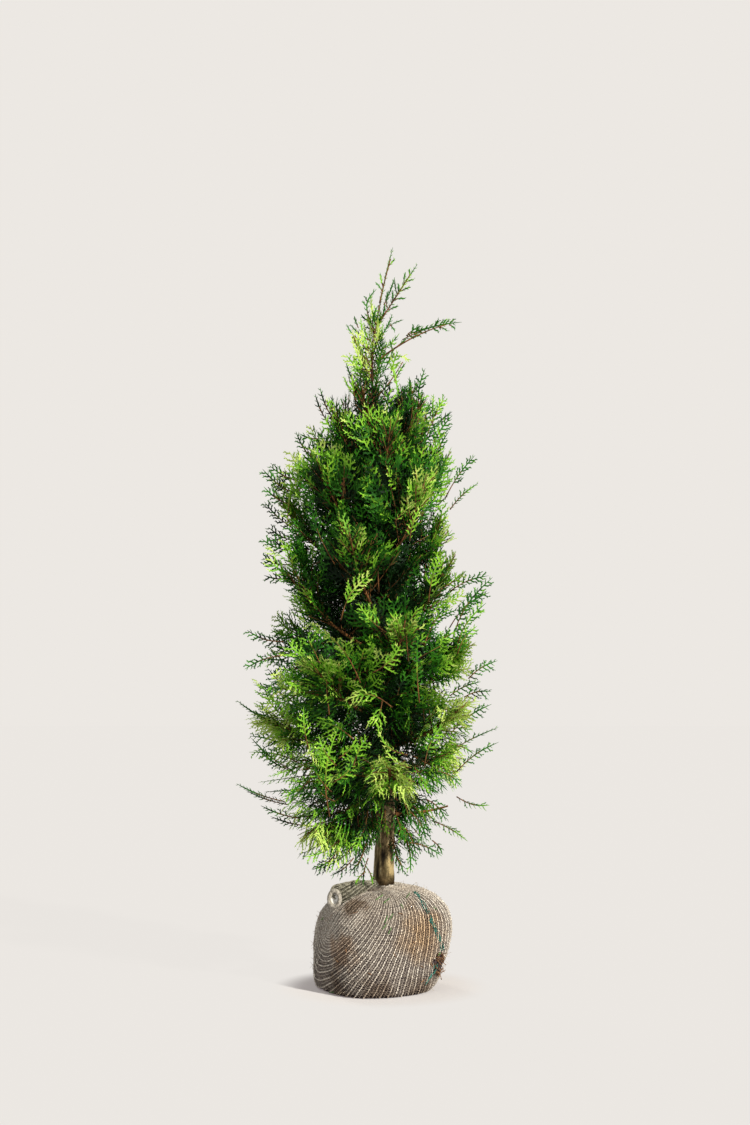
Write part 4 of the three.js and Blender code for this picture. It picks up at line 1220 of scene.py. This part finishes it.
def beaded(way, thick, rng):
    """A yarn along directions on the wrap, with the knit's beads."""
    bead = np.cos(np.arange(len(way)) * (2 * np.pi / 3) + rng.normal(0, 0.5, len(way)))
    radius = thick * (1 + RIBS["bead"] * bead) * rng.uniform(*RIBS["uneven"], len(way))
    radius = radius * np.minimum(1, 0.35 + np.arange(len(way)) * (RIBS["step"] / 90))
    line = on_wrap(strayed(way), RIBS["lift"]) + rng.normal(0, RIBS["shake"], (len(way), 3))
    return strand(line, wrap_normals(way), radius[None], 5)


def rib_row(hand, rng):
    """The ribs on one side of the way from the gather to the pole, strong and weak by turns."""
    row = []
    level, weak = RIBS["inmost"], 0
    before, last = (math.pi - short for short in RIBS["last"])
    more, fade = RIBS["wider"]
    while level < before:
        way = rib_ways(level, hand, RIBS["starts"][weak], RIBS["step"])
        if len(way) > 6:
            row.append((way, weak))
        spread = 1 - RIBS["closer"] * level / math.pi + more * math.exp(-(level / fade) ** 2)
        level += RIBS["level"] * spread * rng.uniform(0.8, 1.2)
        weak = 1 - weak
    return row + [(rib_ways(last, hand, RIBS["starts"][1], RIBS["step"]), 1)]


def cross_threads(rib, neighbour):
    """Threads that go to and fro between two ribs, each with whether it is weak."""
    (one, weak), (other, other_weak) = rib, neighbour
    starts = RIBS["starts"][weak], RIBS["starts"][other_weak]
    reach = [start + RIBS["step"] * (len(way) - 3) for start, way in zip(starts, (one, other))]
    marks = np.arange(max(THREADS["start"], *starts), min(reach), THREADS["gap"] / 2)
    i, j = (((marks - start) / RIBS["step"]).astype(int) for start in starts)
    j = np.clip(j + np.where(np.arange(len(marks)) % 2, 2, -1), 0, len(other) - 1)
    ways = np.stack([one[i], other[j]], 1)
    line = on_wrap(strayed(ways.reshape(-1, 3)).reshape(ways.shape), THREADS["lift"])
    ok = (np.linalg.norm(line[:, 0] - line[:, 1], axis=1) < THREADS["longest"]) & ~torn(ways[:, 1])
    return [strands(line[ok], wrap_normals(ways[ok]), THREADS["radius"], 3)] if ok.any() else []


def green_stripe(points, rng):
    """A band of coloured yarns through places on the front, worn away here and there."""
    marks = np.linspace(0, len(points) - 1, GREEN["steps"] * (len(points) - 1))
    x, z = (np.interp(marks, range(len(points)), [p[k] for p in points]) for k in (0, 1))
    parts = []
    for beside in GREEN["yarns"]:
        way = np.array([front_of_wrap(min(a + beside, GREEN["right"]), c) for a, c in zip(x, z)])
        wear = np.array([noise.noise(Vector((a / 9, beside, c / 11))) for a, c in zip(x, z)])
        for run in runs(wear <= GREEN["worn_above"]):
            radius = rng.uniform(*GREEN["radius"], (1, len(run)))
            parts.append(strand(on_wrap(way[run], GREEN["lift"]), wrap_normals(way[run]), radius, 5))
    return parts


def build_ribs(materials):
    """The knit's raised ribs and the threads from each to the next; gives the ways of the strong ribs."""
    rng = np.random.default_rng(SEED)
    arms = [rib_row(hand, rng) for hand in (1, -1)]
    by_weakness, threads = ([], []), []
    for row in arms:
        for way, weak in row:
            by_weakness[weak].extend(beaded(way[run], RIBS["radii"][weak], rng) for run in runs(~torn(way)))
        for rib, neighbour in zip(row, row[1:]):
            threads += cross_threads(rib, neighbour)
    green = [part for stripe in GREEN_STRIPES for part in green_stripe(stripe, rng)]
    ribs, fine = by_weakness
    for name, parts in (("ribs", ribs), ("fine_ribs", fine), ("threads", threads), ("green_rib", green)):
        add_piece(f"wrap_{name}", *joined(parts), materials[name], "jute_wrap", "root_ball")
    return [way for row in arms for way, weak in row if not weak]


# Bits and loose fibres on the wrap

def build_litter(leaf, straw):
    """Bits of needle and straw that lie on the wrap."""
    rng = np.random.default_rng(SEED + 3)
    parts = {"leaf": [], "straw": []}
    for kind, x, z, to_x, to_z, thick in LITTER:
        places = np.linspace((x, z), (to_x, to_z), 5)
        ways = np.array([front_of_wrap(*place) for place in places])
        line = on_wrap(ways, LITTER_LIFT) + rng.normal(0, 0.4, ways.shape)
        parts[kind].append(strand(line, wrap_normals(ways), thick, 4))
    for kind, material in (("leaf", leaf), ("straw", straw)):
        add_piece(f"litter_{kind}", *joined(parts[kind]), material, "foliage")


def above_floor(line):
    line[:, 2] = np.maximum(line[:, 2], 0.5)
    return line


def fray(way, foot, rng):
    """A loose fibre that stands out of the knit."""
    bend = unit(rng.normal(size=3)) * FRAYS["bend"]
    length = rng.uniform(*FRAYS["length"])
    u = np.linspace(0, 1, FRAYS["points"])[:, None]
    line = foot + (unit(way + rng.normal(0, FRAYS["lean"], 3)) * u + bend * u * u) * length
    return strand(above_floor(line), unit(np.cross(way, bend)), FRAYS["radius"], 3)


def root_hair(rng):
    """A fine root that hangs from the torn patch."""
    x = TEAR["at"][0] + rng.uniform(*TEAR["across"]) * TEAR["wide"]
    z = TEAR["at"][1] + rng.uniform(*TEAR["up"]) * TEAR["high"]
    foot = on_wrap(front_of_wrap(x, z)[None], 0)[0]
    u = np.linspace(0, 1, 8)[:, None]
    way = unit(np.array([1, rng.normal(*TEAR["forward"]), rng.normal(0, 0.6)]))
    line = foot + way * u * rng.uniform(*TEAR["length"]) + UP * u * u * rng.uniform(*TEAR["rise"])
    line = above_floor(line + rng.normal(0, TEAR["shake"], line.shape))
    return strand(line, (0.0, -1.0, 0.0), rng.uniform(*TEAR["radius"]), 4)


def build_frays(materials):
    rng = np.random.default_rng(SEED + 2)
    fibres = []
    for _ in range(FRAYS["count"]):
        way = unit(rng.normal(size=3))
        foot = on_wrap(way[None], FRAYS["lift"])[0]
        if foot[2] >= FRAYS["lowest"]:
            fibres.append(fray(way, foot, rng))
    roots = [root_hair(rng) for _ in range(TEAR["hairs"])]
    for name, parts in (("frays", fibres), ("roots", roots)):
        add_piece(f"wrap_{name}", *joined(parts), materials[name], "jute_wrap")


# The gathered end of the wrap

def tail_centre(t):
    start, end = np.array(TAIL["start"], float), np.array(TAIL["end"], float)
    return curve(start, (start + end) / 2 + TAIL["bend"], end, np.asarray(t, float)[..., None])


def on_tail(t, angle, lift):
    """Points round the twisted end of the wrap, at shares along it and angles round it, with its folds."""
    t, angle = np.broadcast_arrays(np.asarray(t, float), np.asarray(angle, float))
    ahead = unit(tail_centre(t + 0.01) - tail_centre(t - 0.01))
    over = square_to(UP, ahead)
    side = np.cross(ahead, over)
    radius = TAIL["neck"] + (TAIL["mouth"] - TAIL["neck"]) * np.minimum(1, 2.2 * t)
    folds = 1.0 * np.sin(5 * angle + 7 * t) + 0.7 * np.sin(3 * angle - 11 * t)
    radius = radius + lift + folds * (1 - 0.5 * t)
    out = over * np.cos(angle)[..., None] + side * np.sin(angle)[..., None]
    return tail_centre(t) + out * radius[..., None]


def mouth_share(angle):
    """Where the tail ends: its front side is shorter, so that its mouth looks out."""
    shorter = TAIL_MOUTH["cut"] * (1 + np.cos(angle - TAIL_MOUTH["front"]))
    return TAIL_MOUTH["share"] - shorter - TAIL_MOUTH["ragged"] * np.sin(3 * angle + 1)


def build_tail_sheets(materials):
    """The tail's ground outside and its lining in the mouth."""
    around = turns(TAIL_MESH["around"])[None, :]
    share = np.linspace(0, 1, TAIL_MESH["along"])[:, None]
    outer = on_tail(share * mouth_share(around), around, -1.3)
    inner = on_tail((1 - share * 0.5) * mouth_share(around), around, -TAIL_MOUTH["thick"])
    for name, grid in (("tail_ground", outer), ("tail_lining", inner)):
        faces = grid_faces(TAIL_MESH["along"], TAIL_MESH["around"])
        add_piece(name, grid.reshape(-1, 3), faces, materials[name], "jute_wrap", "wrap_tail")


def tail_yarns(rng):
    """Two-ply yarns that twist along the tail and one round its rim; the places that they go through."""
    yarns, paths = [], []
    share = np.linspace(0, 1, TAIL_MESH["yarn"])
    for start in turns(TAIL_MOUTH["yarns"]):
        wander = rng.uniform(-TAIL_YARN["wander"], TAIL_YARN["wander"])
        angle = start + wander + TAIL_MOUTH["twist"] * (1 - share) ** 1.5
        t = share * mouth_share(angle)
        line = on_tail(t, angle, TAIL_YARN["lift"])
        paths.append((t, angle))
        normal = unit(line - tail_centre(t))
        side = unit(np.cross(normal, np.gradient(line, axis=0)))
        phase = TAIL_YARN["winding"] * share[:, None] + rng.uniform(0, 6)
        for half in (0, np.pi):
            offset = side * np.cos(phase + half) + normal * np.sin(phase + half)
            yarns.append(strand(line + offset * TAIL_YARN["ply"], normal, TAIL_YARN["radius"], 5))
    angle = np.linspace(0, 2 * np.pi, TAIL_MESH["rim"])
    rim = on_tail(mouth_share(angle), angle, -1.4)
    yarns.append(strand(rim, unit(rim - tail_centre(mouth_share(angle))), TAIL_YARN["rim"], 6))
    return yarns, paths


def tail_threads(paths):
    """Threads that go to and fro between the tail's yarns."""
    threads = []
    at = np.arange(2, TAIL_MESH["yarn"] - 2, 2)
    slant = np.where(np.arange(len(at)) % 2, TAIL_YARN["slant"], -TAIL_YARN["slant"])[:, None]
    steps = np.array([0, 0.5, 1])[None]
    for (t, angle), (_, other) in zip(paths, paths[1:] + paths[:1]):
        gap = (other[at] - angle[at] + np.pi) % (2 * np.pi) - np.pi
        pair = on_tail(t[at][:, None] + slant * steps, angle[at][:, None] + gap[:, None] * steps, -0.5)
        threads.append(strands(pair, unit(pair - tail_centre(t[at])[:, None]), TAIL_YARN["thread"], 3))
    return threads


def build_tail_ring(materials):
    """The open end, rolled outward into a ring that faces the front and shows the pale inside."""
    facing = unit(np.array(TAIL_RING["faces"]))
    beside = unit(np.cross(facing, UP))
    over = np.cross(beside, facing)
    wide, high, thick = (TAIL_RING[size] for size in ("wide", "high", "thick"))

    def oval(angle, out, deep):
        """Points of an oval about the ring's middle, from arrays of one length or numbers."""
        flat = beside * (wide * np.cos(angle) * out)[:, None] + over * (high * np.sin(angle) * out)[:, None]
        return TAIL_RING["at"] + flat + facing * np.reshape(deep, (-1, 1))

    spokes = turns(TAIL_RING["spokes"])
    rows = [oval(spokes, out, deep) for out, deep in RING_CUP]
    faces = grid_faces(len(rows), len(spokes))
    add_piece("tail_cup", np.concatenate(rows), faces, materials["tail_lining"], "jute_wrap")
    angle = np.linspace(0, 2 * np.pi, TAIL_MESH["rim"])
    ring = []
    for turn in turns(TAIL_RING["yarns"]):
        coil = turn + TAIL_RING["coils"] * angle
        line = oval(angle, 1 + (thick / wide) * np.cos(coil) * 0.9, thick * np.sin(coil))
        ring.append(strand(line, facing, TAIL_RING["radius"], 5))
    add_piece("tail_ring", *joined(ring), materials["ring"], "jute_wrap")


def pleat(way, rng):
    """The end of one rib, which runs from the ball into the tail's neck."""
    foot, gather = on_wrap(way[:1], RIBS["lift"])[0], on_ball(GATHER_WAY)
    out = unit(foot - gather)
    over = lerp(foot, gather, PLEAT["middle"]) + GATHER_WAY * PLEAT["lift"]
    into = tail_centre(0.1) + out * PLEAT["inwards"]
    line = curve(foot, over, into, np.linspace(0, 1, 12)[:, None])
    line = line + rng.normal(0, PLEAT["shake"], line.shape)
    return strand(line, unit(foot - gather + GATHER_WAY * 9), PLEAT["radius"], 5)


def build_tail(materials, ribs):
    rng = np.random.default_rng(SEED + 1)
    build_tail_sheets(materials)
    yarns, paths = tail_yarns(rng)
    threads = tail_threads(paths)
    build_tail_ring(materials)
    pleats = [pleat(way, rng) for way in ribs]
    for name, parts in (("tail_yarns", yarns), ("tail_threads", threads), ("pleats", pleats)):
        add_piece(name, *joined(parts), materials[name], "jute_wrap", "wrap_tail")


# Light, floor and camera

def link_object(name, data):
    obj = bpy.data.objects.new(name, data)
    bpy.context.scene.collection.objects.link(obj)
    return obj


def build_floor():
    """A pale ground that takes shadows close to the ball only."""
    mesh = bpy.data.meshes.new("floor")
    corners = [(x * FLOOR["half"], y * FLOOR["half"], 0) for x, y in ((-1, -1), (1, -1), (1, 1), (-1, 1))]
    mesh.from_pydata(corners, [], [(0, 1, 2, 3)])
    material, tree, surface = new_material("pale_floor", 0.95, specular=0)
    feed(surface["Emission Strength"], 1)
    apart = vector(tree, "LENGTH", "Value", object_place(tree))
    near = ranged(tree, apart, FLOOR["close"], FLOOR["far"], interpolation_type="SMOOTHSTEP")
    for name, (close, far) in FLOOR_TONES.items():
        feed(surface[name], mixed(tree, near, close, far))
    mesh.materials.append(material)
    link_object("floor", mesh)


def build_world():
    """A studio that is dark at the front and light at the back."""
    world = bpy.data.worlds.new("studio")
    world.use_nodes = True
    tree = world.node_tree
    way = node(tree, "TexCoord", "Generated", {})
    side = ranged(tree, node(tree, "SeparateXYZ", "Y", {"Vector": way}), *STUDIO["turns"])
    feed(tree.nodes["Background"].inputs["Color"], mixed(tree, side, STUDIO["shade"], STUDIO["colour"]))
    bpy.context.scene.world = world


def build_suns():
    for name, place, strength, spread, colour in SUNS:
        light = bpy.data.lights.new(name, "SUN")
        light.energy = strength
        light.angle = math.radians(spread)
        light.color = colour
        link_object(name, light).rotation_euler = Vector(place).to_track_quat("Z", "Y").to_euler()


def build_camera():
    camera = bpy.data.cameras.new("camera")
    camera.sensor_fit = "VERTICAL"
    camera.sensor_width, camera.sensor_height = CAMERA["film"]
    camera.lens = CAMERA["focal_pixels"] / CAMERA["picture_pixels"] * camera.sensor_height
    eye = link_object("camera", camera)
    eye.location = CAMERA["eye"]
    eye.rotation_euler = (math.pi / 2, 0, 0)
    bpy.context.scene.camera = eye


limbs = make_limbs()
sprays = make_sprays(limbs)
shoots = [*placed_shoots(), *plumes(), *hangers()]
twig_bark = bark_material("twig_bark", (0.044, 0.018, 0.006), (0.200, 0.086, 0.026), 180, 0.3)
build_foliage(limbs, sprays, shoots)
build_twigs(limbs, sprays, shoots, twig_bark)
build_boughs(limbs, twig_bark)
build_trunk(trunk_material())
jute = {
    "ground": jute_material("jute_ground", (0.012, 0.008, 0.010), (0.055, 0.039, 0.040), 260, STAINS_AND_SHADE),
    "ribs": jute_material("jute_rib", (0.24, 0.20, 0.165), (0.70, 0.64, 0.54), 300, STAINS_AND_SHADE),
    "fine_ribs": jute_material("jute_fine", (0.095, 0.078, 0.068), (0.38, 0.33, 0.275), 300, STAINS_AND_SHADE),
    "threads": jute_material("jute_thread", (0.085, 0.068, 0.062), (0.30, 0.255, 0.21), 300, STAINS_AND_SHADE),
    "ring": jute_material("ring_yarn", (0.13, 0.115, 0.09), (0.42, 0.38, 0.32), 300),
    "frays": jute_material("fray_fibre", (0.25, 0.19, 0.12), (0.50, 0.42, 0.31), 300),
    "roots": jute_material("root_hair", (0.05, 0.025, 0.012), (0.26, 0.14, 0.07), 300),
    "green_rib": jute_material("green_yarn", (0.010, 0.060, 0.048), (0.045, 0.18, 0.14), 300),
    "tail_ground": jute_material("tail_ground", (0.022, 0.020, 0.014), (0.10, 0.090, 0.060), 260),
    "tail_lining": jute_material("tail_lining", (0.55, 0.52, 0.47), (0.82, 0.80, 0.75), 200),
    "tail_yarns": jute_material("tail_yarn", (0.07, 0.065, 0.045), (0.30, 0.275, 0.21), 300),
    "tail_threads": jute_material("tail_thread", (0.06, 0.058, 0.042), (0.24, 0.22, 0.17), 300),
    "pleats": jute_material("pleat_yarn", (0.035, 0.028, 0.022), (0.20, 0.165, 0.13), 300),
}
build_sheet(jute["ground"])
build_tail(jute, build_ribs(jute))
build_frays(jute)
build_litter(bpy.data.materials["leaf_dull"], jute["roots"])
build_floor()
build_world()
build_suns()
build_camera()
bpy.context.scene.view_settings.view_transform = "Standard"
